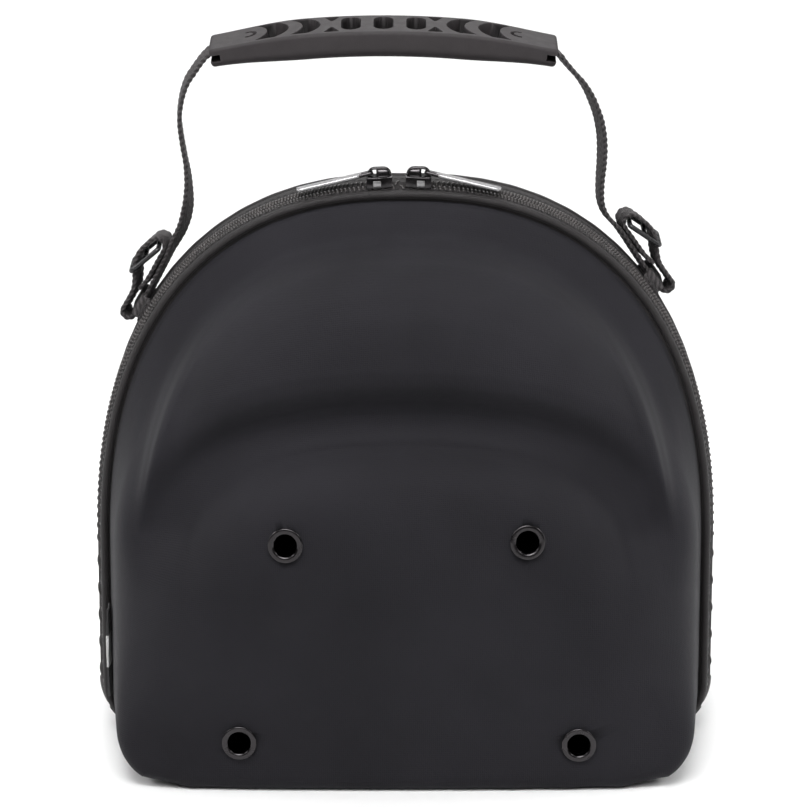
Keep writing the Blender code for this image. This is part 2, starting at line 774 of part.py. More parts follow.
def make_pull(name, x, material, parts):
    """A pull that turns about a cross bar under its slider's bridge, modelled about that bar."""
    place, slope = slider_place(x)
    side = 1 if x > 0 else -1
    along, up = pivot_offset()
    bar = PULL_BAR_RADIUS
    gap = BRIDGE_WIDTH / 2 + SEAM_GAP
    arm = gap + PULL_ARM
    # The eye swings clear of the bridge's outer corner
    corner_along = SLIDER_LENGTH / 2 - along
    corner_up = SEAM_GAP + SLIDER_BODY + BRIDGE_SPACE + BRIDGE_THICKNESS - up
    eye = math.hypot(corner_along, corner_up) + SEAM_GAP
    tongue = eye + PULL_EYE_EDGE
    end = PULL_LENGTH
    half = PULL_WIDTH / 2
    outline = (
        # along, across; one half, from the cross bar to the tip
        (-bar, arm),
        (tongue, arm),
        (tongue + PULL_TAPER, half),
        (end - PULL_CHAMFER, half),
        (end, half - PULL_CHAMFER),
    )
    ring = [(a, c) for a, c in outline] + [(a, -c) for a, c in reversed(outline)]
    inner = [(-bar, -gap), (eye, -gap), (eye, gap), (-bar, gap)]
    bm = bmesh.new()
    layers = []
    for height in (-bar, bar):
        layers.append([bm.verts.new((side * a, c, height)) for a, c in ring + inner])
    low, high = layers
    count = len(low)
    for i in range(count):
        j = (i + 1) % count
        bm.faces.new((low[i], low[j], high[j], high[i]))
    bm.faces.new(low)
    bm.faces.new(reversed(high))
    pull = add_mesh_object(name, bm, material, parts, smooth_deg=30.0)
    bm = bmesh.new()
    box(bm, (-bar, -gap - PULL_ARM / 2, -bar), (bar, gap + PULL_ARM / 2, bar))
    cross = add_mesh_object(f"{name}_bar", bm, material, parts)
    union = pull.modifiers.new("cross_bar", "BOOLEAN")
    union.object = cross
    union.operation = "UNION"
    union.solver = "EXACT"
    pull = as_mesh(pull, parts)
    bpy.data.objects.remove(cross)
    pull.name = name
    c = math.cos(slope)
    s = math.sin(slope)
    pull.location = (
        place[0] + side * along * c + up * s,
        0.0,
        place[2] - side * along * s + up * c,
    )
    pull.rotation_euler = (0.0, side * math.radians(PULL_SLOPE_DEG), 0.0)
    return pull


def smooth_route(points, spacing=STRAP_STEP):
    """Evenly spaced points on a smooth curve through a route's own points."""
    route = np.array(points, dtype=float)
    ends = np.vstack((2 * route[0] - route[1], route, 2 * route[-1] - route[-2]))
    dense = []
    for i in range(1, len(ends) - 2):
        p0, p1, p2, p3 = ends[i - 1 : i + 3]
        for t in np.linspace(0, 1, 24, endpoint=False):
            dense.append(
                0.5 * (2 * p1 + (p2 - p0) * t + (2 * p0 - 5 * p1 + 4 * p2 - p3) * t**2
                       + (3 * p1 - p0 - 3 * p2 + p3) * t**3)
            )
    dense.append(route[-1])
    dense = np.array(dense)
    lengths = np.linalg.norm(np.diff(dense, axis=0), axis=1)
    along = np.concatenate(([0.0], np.cumsum(lengths)))
    count = max(3, int(round(along[-1] / spacing)) + 1)
    spots = np.linspace(0, along[-1], count)
    return np.column_stack([np.interp(spots, along, dense[:, axis]) for axis in (0, 1)])


def shoulder_spot(angle_deg, side):
    """A function that turns lengths along a shoulder and out from it into x and z."""
    point, normal = arch_spot(angle_deg, side)
    tangent = np.array([-normal[1] * side, abs(normal[0])])

    def spot(along, out):
        return tuple(point + tangent * along + normal * out)

    return spot, tangent, normal


def strap_path(route, angle_deg, side):
    """The strap's middle line: down its route, along the shoulder, round the keeper and up through
    the buckle, whose top bar it loops round."""
    spot, _, _ = shoulder_spot(angle_deg, side)
    low = SEAM_GAP + WEB_THICKNESS / 2
    half = KEEPER_LENGTH / 2
    mouth = GRIP_X + side * GRIP_LENGTH / 2
    start = np.array([mouth, grip_middle(mouth)])
    touchdown = np.array(spot(STRAP_TOUCHDOWN, low + STRAP_EASE))
    height = start[1] - touchdown[1]
    held = [mouth - side * GRIP_HOLD * share for share in (1.0, 0.5, 0.0)]
    free = [(x, grip_middle(x)) for x in held]
    for share, bulge in route:
        free.append(tuple(start + (touchdown - start) * share + np.array([side * bulge * height, 0.0])))
    down = smooth_route(free + [tuple(touchdown), spot(half + STRAP_FLAT_RUN, low)])
    path = [tuple(p) for p in down]
    path.append(spot(-half, low))
    for step in range(1, 8):
        angle = math.pi * step / 8
        path.append(spot(-half - LOOP_RADIUS * math.sin(angle), low + LOOP_RADIUS * (1 - math.cos(angle))))
    back = [spot(-half, low + 2 * LOOP_RADIUS)]
    back += [spot(along, out) for along, out in STRAP_RETURN]
    for step in range(5):
        angle = math.pi * step / 4
        back.append(
            spot(
                BUCKLE_TOP_ALONG + BAR_LOOP_RADIUS * math.sin(angle),
                BUCKLE_TOP_OUT + BAR_LOOP_RADIUS * math.cos(angle),
            )
        )
    back += [spot(along, out) for along, out in STRAP_TAIL]
    path += [tuple(p) for p in smooth_route(back, STRAP_LOOP_STEP)]
    return path


def ribbon(name, path, across, thickness, material, parts):
    """A flat web along a path, as wide as the vector across, which is at right angles to the path."""
    points = np.array(path)
    across = np.array(across)
    tangent = np.gradient(points, axis=0)
    tangent /= np.linalg.norm(tangent, axis=1)[:, None]
    normal = np.cross(tangent, across / np.linalg.norm(across)) * thickness / 2
    corners = ((1, -0.5), (1, 0.5), (-1, 0.5), (-1, -0.5))
    bm = bmesh.new()
    rings = []
    for p, n in zip(points, normal):
        rings.append([bm.verts.new(p + n * up + across * over) for up, over in corners])
    for here, after in zip(rings[:-1], rings[1:]):
        for corner in range(4):
            following = (corner + 1) % 4
            bm.faces.new((here[corner], here[following], after[following], after[corner]))
    bm.faces.new(rings[0])
    bm.faces.new(reversed(rings[-1]))
    return add_mesh_object(name, bm, material, parts)


def make_strap(name, route, angle_deg, side, material, parts):
    path = [(x, HANDLE_Y, z) for x, z in strap_path(route, angle_deg, side)]
    return ribbon(name, path, (0.0, WEB_WIDTH, 0.0), WEB_THICKNESS, material, parts)


def make_keeper(name, angle_deg, side, material, parts):
    """A short web sewn to the rear tape and the rear half, over the strap's inner run."""
    point, normal = arch_spot(angle_deg, side)
    _, tangent, _ = shoulder_spot(angle_deg, side)
    half = WEB_THICKNESS / 2
    near = HANDLE_Y - WEB_WIDTH / 2 - KEEPER_CLEARANCE - half
    far = HANDLE_Y + WEB_WIDTH / 2 + KEEPER_CLEARANCE + half
    tape = SEAM_GAP - TAPE_INSET + half
    over = SEAM_GAP + WEB_THICKNESS + KEEPER_CLEARANCE + half

    def shell_out(y):
        outs = np.linspace(0.002, -0.030, 1200)
        x = point[0] + normal[0] * outs
        z = point[1] + normal[1] * outs
        values = shell_value(
            x, np.full(1200, y), z, rear_rim(), REAR_SHELL_INSET, rear_field, REAR_DEPTH, REAR_SLOPE
        )
        return outs[np.argmax(values < 0)] + KEEPER_SEAT + half

    bend = KEEPER_BEND
    rear_start = far + 1.5 * bend
    foot_top = shell_out(rear_start) + 1.2 * bend
    profile = [
        (near - KEEPER_FOOT, tape),
        (near - 0.8 * bend, tape),
        (near, tape + 0.8 * bend),
        (near, over - bend),
        (near + bend, over),
        (far - bend, over),
        (far, over - bend),
        (far, (over - bend + foot_top) / 2),
        (far, foot_top),
    ]
    for step in range(4):
        y = rear_start + KEEPER_FOOT * step / 3
        profile.append((y, shell_out(y)))
    path = [(point[0] + normal[0] * out, y, point[1] + normal[1] * out) for y, out in profile]
    across = (tangent[0] * KEEPER_LENGTH, 0.0, tangent[1] * KEEPER_LENGTH)
    return ribbon(name, path, across, WEB_THICKNESS, material, parts)


def make_buckle(name, angle_deg, side, material, parts, cutters):
    """A three-bar slide round the strap's doubled end."""
    spot, tangent, _ = shoulder_spot(angle_deg, side)
    bar = BUCKLE_BAR
    length = 2 * BUCKLE_BAR_SPACING + bar
    inside = WEB_WIDTH + 2 * BUCKLE_SIDE_CLEARANCE
    width = inside + 2 * bar
    outer = ((-length / 2, -width / 2, -bar / 2), (length / 2, width / 2, bar / 2))
    holes = []
    for sign in (-1, 1):
        middle = sign * BUCKLE_BAR_SPACING / 2
        reach = (BUCKLE_BAR_SPACING - bar) / 2
        holes.append(((middle - reach, -inside / 2, -bar), (middle + reach, inside / 2, bar)))
    buckle = join_cut(name, outer, holes, material, parts, cutters)
    tilt = math.radians(BUCKLE_TILT_DEG)
    x, z = spot(
        BUCKLE_TOP_ALONG - BUCKLE_BAR_SPACING * math.cos(tilt),
        BUCKLE_TOP_OUT + BUCKLE_BAR_SPACING * math.sin(tilt),
    )
    buckle.location = (x, HANDLE_Y, z)
    slope = math.atan2(tangent[1], tangent[0])
    buckle.rotation_euler = (0.0, -(slope + side * tilt), 0.0)
    return buckle


def grip_middle(x):
    """Height of the grip's middle line, and its fall along X."""
    run = x - GRIP_X
    drop = GRIP_ARCH_RADIUS - math.sqrt(GRIP_ARCH_RADIUS**2 - run**2)
    return GRIP_TOP - GRIP_HEIGHT / 2 - drop


def grip_size(x):
    """The grip's width and height at x: both shrink towards the ends."""
    share = smooth_step(abs(x - GRIP_X) / (GRIP_LENGTH / 2), 0.45, 1.0)
    width = GRIP_WIDTH + (GRIP_END_WIDTH - GRIP_WIDTH) * share
    return width, GRIP_HEIGHT + (GRIP_END_HEIGHT - GRIP_HEIGHT) * share


def prism_cutter(name, outline, low, high, cutters):
    """A cutter with an outline of x, y corners, from low to high."""
    bm = bmesh.new()
    verts = [bm.verts.new((x, y, low)) for x, y in outline]
    face = bm.faces.new(verts)
    lifted = bmesh.ops.extrude_face_region(bm, geom=[face])
    moved = [item for item in lifted["geom"] if isinstance(item, bmesh.types.BMVert)]
    bmesh.ops.translate(bm, vec=(0.0, 0.0, high - low), verts=moved)
    return add_cutter(name, bm, cutters)


def slot_outline(x):
    """A slot across the grip with round ends."""
    radius = SLOT_WIDTH / 2
    run = SLOT_REACH / 2 - radius
    corners = []
    for end in (1, -1):
        for step in range(7):
            angle = math.pi * step / 6
            y = HANDLE_Y + end * (run + radius * math.sin(angle))
            corners.append((x + end * radius * math.cos(angle), y))
    return corners


def crescent_outline(x, side, radius, shift, reach):
    """A crescent whose outer arc bulges towards the grip's middle."""
    outer = []
    inner = []
    for step in range(9):
        y = -reach + 2 * reach * step / 8
        outer.append((x + side * (radius - math.sqrt(radius**2 - y**2)), HANDLE_Y + y))
        inner.append((x + side * (shift + 0.55 * (radius - math.sqrt(radius**2 - y**2))), HANDLE_Y + y))
    return outer + list(reversed(inner))


def make_grip(material, parts, cutters):
    """The moulded hand grip: an arched bar, open at both ends for the webbing, with cut-outs."""
    bm = bmesh.new()
    rings = []
    stations = 19
    for station in range(stations):
        share = station / (stations - 1)
        x = GRIP_X - GRIP_LENGTH / 2 + GRIP_LENGTH * share
        width, height = grip_size(x)
        lean = (x - GRIP_X) / GRIP_ARCH_RADIUS
        ring = []
        for step in range(16):
            angle = 2 * math.pi * (step + 0.5) / 16
            power = 0.45
            y = width / 2 * math.copysign(abs(math.cos(angle)) ** power, math.cos(angle))
            up = height / 2 * math.copysign(abs(math.sin(angle)) ** power, math.sin(angle))
            up *= 1.0 - 0.10 * (2 * y / width) ** 2
            z = grip_middle(x) + up * math.cos(lean)
            ring.append(bm.verts.new((x + up * math.sin(lean), HANDLE_Y + y, z)))
        rings.append(ring)
    for here, after in zip(rings[:-1], rings[1:]):
        for corner in range(16):
            following = (corner + 1) % 16
            bm.faces.new((here[corner], here[following], after[following], after[corner]))
    bm.faces.new(rings[0])
    bm.faces.new(reversed(rings[-1]))
    grip = add_mesh_object("grip", bm, material, parts)
    for side in (-1, 1):
        end = GRIP_X + side * GRIP_LENGTH / 2
        middle = end - side * GRIP_MOUTH / 2
        half_width = WEB_WIDTH / 2 + MOUTH_CLEARANCE
        half_height = WEB_THICKNESS / 2 + MOUTH_CLEARANCE
        bm = bmesh.new()
        box(bm, (-GRIP_MOUTH, -half_width, -half_height), (GRIP_MOUTH, half_width, half_height))
        mouth = add_cutter(f"grip_mouth_{'left' if side < 0 else 'right'}", bm, cutters)
        lean = (middle - GRIP_X) / GRIP_ARCH_RADIUS
        mouth.location = (end, HANDLE_Y, grip_middle(middle) - lean * side * GRIP_MOUTH / 2)
        mouth.rotation_euler = (0.0, lean, 0.0)
        cut(grip, mouth)
    for index in (-1, 0, 1):
        x = GRIP_X + index * SLOT_SPACING
        top = grip_middle(x) + GRIP_HEIGHT / 2
        name = f"grip_slot_{index + 1}"
        cut(grip, prism_cutter(name, slot_outline(x), top - POCKET_DEPTH, top + OVERCUT, cutters))
    for side in (-1, 1):
        for index, start in enumerate(CRESCENT_STARTS):
            x = GRIP_X + side * start
            top = grip_middle(x + side * CRESCENT_WIDTH) + grip_size(x)[1] / 2
            outline = crescent_outline(x, side, CRESCENT_RADIUS, CRESCENT_WIDTH, CRESCENT_REACH)
            name = f"grip_crescent_{'left' if side < 0 else 'right'}_{index}"
            cut(grip, prism_cutter(name, outline, top - POCKET_DEPTH, top + OVERCUT, cutters))
    return grip


def make_label(material, parts):
    """A small folded tab in the left seam of the front half, leaning out from the wall."""
    spot_z = LABEL_BOTTOM + LABEL_HEIGHT / 2
    start = front_rim() + 2 * PIPING_RADIUS + 2 * SEAM_GAP
    path = []
    for step in range(5):
        share = step / 4
        depth = start + LABEL_LENGTH * share
        run = depth - front_rim()
        inset = FRONT_SHELL_INSET + run * math.tan(math.radians(DRAFT_DEG))
        out = SEAM_GAP + LABEL_THICKNESS / 2 + LABEL_LEAN * share**2
        path.append((-(HALF_WIDTH - inset + out), -depth, spot_z))
    return ribbon("side_label", path, (0.0, 0.0, LABEL_HEIGHT), LABEL_THICKNESS, material, parts)


def main():
    for old in list(bpy.data.objects):
        bpy.data.objects.remove(old)
    parts = make_collection("hat_bag")
    cutters = make_collection("cutters")
    cloth = make_material("moulded_black_cloth", (0.012, 0.013, 0.020), 0.90)
    piping = make_material("black_piping", (0.014, 0.013, 0.015), 0.70)
    web = make_material("black_webbing", (0.016, 0.015, 0.016), 0.80)
    coil = make_material("black_coil", (0.020, 0.018, 0.018), 0.45)
    metal = make_material("black_metal", (0.030, 0.028, 0.030), 0.25, 1.0)
    steel = make_material("bright_steel", (0.62, 0.61, 0.62), 0.22, 1.0)
    plastic = make_material("black_plastic", (0.012, 0.012, 0.013), 0.30)
    rubber = make_material("black_rubber", (0.045, 0.040, 0.042), 0.62)

    front = make_shell(
        "front_shell", 1, front_rim(), FRONT_SHELL_INSET, front_field, DOME_DEPTH, DOME_SLOPE,
        FRONT_RING_DEG, cloth, parts,
    )
    make_shell(
        "rear_shell", -1, rear_rim(), REAR_SHELL_INSET, rear_field, REAR_DEPTH, REAR_SLOPE,
        REAR_RING_DEG, cloth, parts,
    )
    for index, (x, z) in enumerate(EYELET_SPOTS, start=1):
        cut(front, make_eyelet_cutter(index, x, z, cutters))
        make_eyelet(index, x, z, metal, parts)

    make_piping("front_piping", -(front_rim() + PIPING_RADIUS), FRONT_PIPING_INSET, piping, parts)
    make_piping("rear_piping", rear_rim() + PIPING_RADIUS, REAR_PIPING_INSET, piping, parts)
    make_zip_tapes(web, parts)
    make_coil(coil, parts)
    make_bottom_hinge(web, parts)

    for name, x in (("left", SLIDER_LEFT_X), ("right", SLIDER_RIGHT_X)):
        make_slider(f"slider_{name}", x, metal, parts, cutters)
        make_pull(f"pull_{name}", x, steel, parts)

    make_grip(rubber, parts, cutters)
    handles = (
        ("left", LEFT_STRAP_ROUTE, LEFT_KEEPER_DEG, -1),
        ("right", RIGHT_STRAP_ROUTE, RIGHT_KEEPER_DEG, 1),
    )
    for name, route, angle, side in handles:
        make_strap(f"strap_{name}", route, angle, side, web, parts)
        make_keeper(f"keeper_{name}", angle, side, web, parts)
        make_buckle(f"buckle_{name}", angle, side, plastic, parts, cutters)
    make_label(web, parts)


main()
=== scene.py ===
"""Looks of the hat bag: a moulded cap carrier case with a zip, eyelets and a webbing handle."""

import math

import bmesh
import bpy
import numpy as np
from mathutils import Matrix, Vector


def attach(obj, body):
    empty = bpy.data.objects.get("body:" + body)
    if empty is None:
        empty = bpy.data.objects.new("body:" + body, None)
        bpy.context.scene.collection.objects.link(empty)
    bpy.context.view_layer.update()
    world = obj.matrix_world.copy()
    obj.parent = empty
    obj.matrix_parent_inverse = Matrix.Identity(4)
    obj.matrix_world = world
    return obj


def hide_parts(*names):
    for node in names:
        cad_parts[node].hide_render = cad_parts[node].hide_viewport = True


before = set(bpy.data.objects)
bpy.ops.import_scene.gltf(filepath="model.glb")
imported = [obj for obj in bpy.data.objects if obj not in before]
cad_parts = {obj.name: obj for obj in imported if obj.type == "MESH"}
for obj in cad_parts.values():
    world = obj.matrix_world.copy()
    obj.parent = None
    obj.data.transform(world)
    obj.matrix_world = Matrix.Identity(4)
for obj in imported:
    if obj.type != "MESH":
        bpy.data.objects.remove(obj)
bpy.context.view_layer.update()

CASE = "case"
X_WAY, Y_WAY, Z_WAY = (1.0, 0.0, 0.0), (0.0, 1.0, 0.0), (0.0, 0.0, 1.0)
MERGE_DISTANCE = 0.000002

# Outline of the case in the zip plane
HALF_WIDTH = 0.135
HEIGHT = 0.2475
SPRING_HEIGHT = 0.085
ARCH_POWER = 2.38
CORNER_RADIUS = 0.024

# Zip band
COIL_WIDTH = 0.0058
COIL_THICKNESS = 0.0026
TAPE_THICKNESS = 0.0006
TAPE_INSET = 0.0010
FRONT_TAPE_DROP = 0.0021
FRONT_TAPE_WIDTH = 0.0029
REAR_TAPE_WIDTH = 0.0134
PIPING_RADIUS = 0.0017
FRONT_PIPING_INSET = 0.0039
REAR_PIPING_INSET = 0.0019
ZIP_END_HEIGHT = 0.012
HINGE_THICKNESS = 0.0012
HINGE_SEAM = 0.0075
COIL_PITCH = 0.0018
COIL_LEAN_DEG = 32.0
COIL_SEAT = 0.0020
COIL_STEPS = 12
COIL_MIDDLE = 0.00135
COIL_REACH = 0.00140
COIL_RISE = 0.00092
WIRE_RISE = 0.00040
WIRE_WIDTH = 0.00062
COIL_CORD = (0.0052, 0.0014)
SEAM_GAP = 0.0003
FLANGE_SEAT = 0.0006
FLANGE_THICKNESS = 0.0010
FLANGE_REACH = 0.0040
FRONT_RIM = COIL_WIDTH / 2 + FRONT_TAPE_WIDTH + 2 * SEAM_GAP
REAR_RIM = COIL_WIDTH / 2 + REAR_TAPE_WIDTH + 2 * SEAM_GAP

# Moulded halves
WALL = 0.0035
FRONT_SHELL_INSET = 0.0061
REAR_SHELL_INSET = 0.0041
DRAFT_DEG = 7.0
FRONT_DEPTH = 0.0805
REAR_DEPTH = 0.0830
EDGE_ROUNDING = 0.028
BOTTOM_ROUNDING = 0.006
ROUNDING_CHANGE = 0.080
FOOT_RUN = 0.009
DOME_DEPTH = 0.0665
DOME_REACH = 0.080
PANEL_CROWN = 0.0030
SHELL_CENTRE_HEIGHT = 0.140
VALLEY_HALF_WIDTH = 0.108
VALLEY_TOP = 0.1600
VALLEY_SPRING = 0.086
VALLEY_POWER = 2.4
VALLEY_FLOOR_DEPTH = 0.0550
VALLEY_REACH = 0.020
PANEL_REACH = 0.060
CORNER_REACH = 0.075
CORNER_DRAFT = 0.70

# Share of the reach, share of the rise
DOME_SLOPE = (
    (0.000, 0.000), (0.019, 0.055), (0.100, 0.120), (0.175, 0.175), (0.212, 0.260), (0.240, 0.400),
    (0.275, 0.540), (0.337, 0.675), (0.412, 0.792), (0.525, 0.900), (0.675, 0.967), (0.825, 0.992),
    (1.000, 1.000),
)
REAR_SLOPE = (
    (0.000, 0.000), (0.020, 0.050), (0.090, 0.250), (0.200, 0.600), (0.300, 0.820), (0.450, 0.950),
    (0.700, 0.990), (1.000, 1.000),
)
VALLEY_UPPER = ((0.0, 0.0), (0.2, 0.13), (0.45, 0.50), (0.70, 0.83), (1.0, 1.0))
VALLEY_LOWER = (
    (0.0, 0.0), (0.07, 0.03), (0.13, 0.09), (0.18, 0.17), (0.22, 0.20), (0.28, 0.37), (0.37, 0.60),
    (0.47, 0.77), (0.60, 0.89), (0.78, 0.97), (1.0, 1.0),
)

# Eyelets
EYELET_RADIUS = 0.0074
EYELET_HOLE_RADIUS = 0.0046
EYELET_SPOTS = ((-0.0502, 0.1094), (0.0510, 0.1108), (-0.0704, 0.0222), (0.0734, 0.0212))

# Sliders and pulls
SLIDER_LENGTH = 0.0110
SLIDER_WIDTH = 0.0095
SLIDER_BODY = 0.0026
BRIDGE_THICKNESS = 0.0010
BRIDGE_SPACE = 0.0026
BRIDGE_WIDTH = 0.0022
PULL_LENGTH = 0.0330
PULL_WIDTH = 0.0052
PULL_BAR_RADIUS = 0.0008
PULL_SLOPE_DEG = 12.0
PULL_YAW_DEG = 7.0
SLIDER_TOP = SEAM_GAP + SLIDER_BODY
SLIDER_REAR_LOW = -0.0007
SLIDER_FRONT_LOW = -0.0026
SLIDER_ROUND = 0.0007
BRIDGE_REACH = SLIDER_LENGTH / 2 - 0.0008
# Size of the bright block that paints the highlight on each slider's front
NOSE_HIGHLIGHT_SIZE = (0.0034, 0.0007, 0.0032)
PULL_TONGUE = 0.0046
PULL_EYE_RISE = 0.00055
SLIDER_X = {"left": -0.0111, "right": 0.0055}

# Handle
HANDLE_Y = 0.023
WEB_WIDTH = 0.020
WEB_THICKNESS = 0.0016
GRIP_LENGTH = 0.148
GRIP_WIDTH = 0.027
GRIP_END_WIDTH = 0.024
GRIP_HEIGHT = 0.0125
GRIP_END_HEIGHT = 0.0090
GRIP_X = -0.0094
GRIP_TOP = 0.3130
GRIP_ARCH_RADIUS = 0.400
GRIP_MOUTH = 0.014
POCKET_DEPTH = 0.0070
GRIP_TILT_DEG = 6.0
GRIP_DROP = 0.0008
GRIP_ROUND = 0.0022
GRIP_SLOTS = (-0.0137, 0.0, 0.0138)
GRIP_SLOT_RADIUS = 0.0039
GRIP_SLOT_RUN = 0.0051
# Start, radius and thickness
GRIP_CRESCENTS = ((0.0268, 0.0125, 0.0072), (0.0402, 0.0125, 0.0088))
GRIP_ARC = 0.0574
GRIP_END_SLOT = (0.0045, 2 * GRIP_WIDTH, WEB_THICKNESS + 0.0014)
POCKET_SHADE_FLOOR = 0.0035
BUCKLE_BAR = 0.0022
BUCKLE_BAR_SPACING = 0.0077
KEEPER_LENGTH = 0.010
KEEPER_CLEARANCE = 0.0005
KEEPER_FOOT = 0.006
KEEPER_BEND = 0.001
KEEPER_SEAT = 0.0009
TACK_REACH = 0.0042
TACK_PITCH = 0.0022
TACK_LENGTH = 0.0019
LOOP_RADIUS = 0.0029
BAR_LOOP_RADIUS = 0.0036
GRIP_HOLD = 0.0115
STRAP_TOUCHDOWN = 0.025
STRAP_EASE = 0.0007
STRAP_FLAT_RUN = 0.002
KEEPER_DEG = {"left": 52.7, "right": 48.0}
BUCKLE_TOP_ALONG = 0.0262
BUCKLE_TOP_OUT = 0.0076
BUCKLE_TILT_DEG = 20.4
# Share of the way down, how far out as a share of the height
STRAP_ROUTES = {
    "left": (
        (0.036, 0.033), (0.095, 0.063), (0.144, 0.085), (0.203, 0.095), (0.268, 0.095), (0.342, 0.085),
        (0.441, 0.053), (0.540, 0.016), (0.640, -0.016), (0.740, -0.036), (0.815, -0.041), (0.880, -0.034),
    ),
    "right": (
        (0.050, 0.020), (0.107, 0.048), (0.162, 0.078), (0.229, 0.097), (0.301, 0.103), (0.385, 0.101),
        (0.496, 0.078), (0.608, 0.038), (0.720, -0.010), (0.833, -0.048), (0.915, -0.045),
    ),
}
# Share of the way down to the shoulder, how far the strap turns sideways there
STRAP_TURNS = {
    "left": ((0.0, 0.0), (0.2, 0.05), (0.60, 0.05), (0.80, -0.14), (0.92, -0.12), (1.0, 0.0)),
    "right": ((0.0, -0.05), (0.18, -0.16), (0.45, -0.15), (0.65, -0.10), (0.85, -0.02), (1.0, 0.0)),
}
STRAP_LEAN = 0.13
WEB_VISIBLE = 0.0015
RIB_PITCH = 0.0026
RIB_SLANT = 0.9
STRAP_RETURN = (
    (0.0035, 0.0070), (0.0075, 0.0082), (0.0117, 0.0103), (0.0154, 0.0121), (0.0190, 0.0128),
    (0.0227, 0.0124),
)
STRAP_TAIL = ((0.0217, 0.0040), (0.0152, 0.0039), (0.0096, 0.0041), (0.0060, 0.0050))

# Side label
LABEL_BOTTOM = 0.022
LABEL_HEIGHT = 0.040
LABEL_LENGTH = 0.010
LABEL_THICKNESS = 0.0012
LABEL_LEAN = 0.0016
LABEL_STRIPE = 0.0144


# Shapes worked out in numbers


def smooth_step(value, low, high):
    share = np.clip((value - low) / (high - low), 0.0, 1.0)
    return share * share * (3.0 - 2.0 * share)


def smooth_max(a, b, width):
    share = np.clip(0.5 + 0.5 * (a - b) / width, 0.0, 1.0)
    return b + (a - b) * share + width * share * (1.0 - share)


def table_value(table, share):
    """A smooth curve through a table's rows, without overshoot."""
    xs, ys = np.array(table).T
    steps = np.diff(ys) / np.diff(xs)
    slopes = np.zeros(len(xs))
    slopes[0], slopes[-1] = steps[0], steps[-1]
    both = steps[:-1] * steps[1:]
    slopes[1:-1] = np.where(both > 0, 2.0 * both / np.where(both > 0, steps[:-1] + steps[1:], 1.0), 0.0)
    share = np.clip(share, xs[0], xs[-1])
    index = np.clip(np.searchsorted(xs, share, side="right") - 1, 0, len(xs) - 2)
    run = xs[index + 1] - xs[index]
    t = (share - xs[index]) / run
    start = (1 + 2 * t) * (1 - t) ** 2 * ys[index] + t * (1 - t) ** 2 * run * slopes[index]
    return start + t * t * (3 - 2 * t) * ys[index + 1] + t * t * (t - 1) * run * slopes[index + 1]


def arch_value(x, z, half_width, spring, rise, power):
    """How far out a point lies as a share of an arch (1 on it), and its distance from the arch."""
    across = np.abs(x) / half_width
    up = np.maximum(z - spring, 0.0) / rise
    share = np.maximum((across**power + up**power) ** (1.0 / power), 1e-6)
    pull_x = (across / share) ** (power - 1.0) / half_width
    pull_z = (up / share) ** (power - 1.0) / rise
    return share, (share - 1.0) / np.maximum(np.hypot(pull_x, pull_z), 1e-6)


def wall_distance(x, z, inset, bottom):
    half_width = HALF_WIDTH - inset
    _, arch = arch_value(x, z, half_width, SPRING_HEIGHT, HEIGHT - SPRING_HEIGHT - inset, ARCH_POWER)
    corner_x = np.abs(x) - (half_width - CORNER_RADIUS)
    corner_z = bottom + CORNER_RADIUS - z
    outside = np.hypot(np.maximum(corner_x, 0.0), np.maximum(corner_z, 0.0))
    straight = outside + np.minimum(np.maximum(corner_x, corner_z), 0.0) - CORNER_RADIUS
    return np.where(z > SPRING_HEIGHT, arch, straight)


def front_field(x, z):
    """Depth of the front half's face: the dome, the valley and the lower panel."""
    rise = VALLEY_TOP - VALLEY_SPRING
    share, above = arch_value(x, z, VALLEY_HALF_WIDTH, VALLEY_SPRING, rise, VALLEY_POWER)
    fade = smooth_step(np.maximum(z - VALLEY_SPRING, 0.0) / rise / share, 0.0, 0.36)
    panel = FRONT_DEPTH - PANEL_CROWN * (x / HALF_WIDTH) ** 2
    up_share = table_value(VALLEY_UPPER, above / VALLEY_REACH)
    down_share = table_value(VALLEY_LOWER, -above / PANEL_REACH)
    upper = VALLEY_FLOOR_DEPTH + (DOME_DEPTH - VALLEY_FLOOR_DEPTH) * up_share
    lower = VALLEY_FLOOR_DEPTH + (panel - VALLEY_FLOOR_DEPTH) * down_share
    fall = (DOME_DEPTH - panel) * (0.25 + 0.75 * smooth_step(z, 0.0, CORNER_REACH))
    plain = panel + fall * smooth_step(above, -PANEL_REACH / 2, VALLEY_REACH)
    return plain + (np.where(above > 0, upper, lower) - plain) * fade


def rear_field(x, z):
    middle = (z - HEIGHT / 2) / HEIGHT
    return REAR_DEPTH - PANEL_CROWN * ((x / HALF_WIDTH) ** 2 + middle**2)


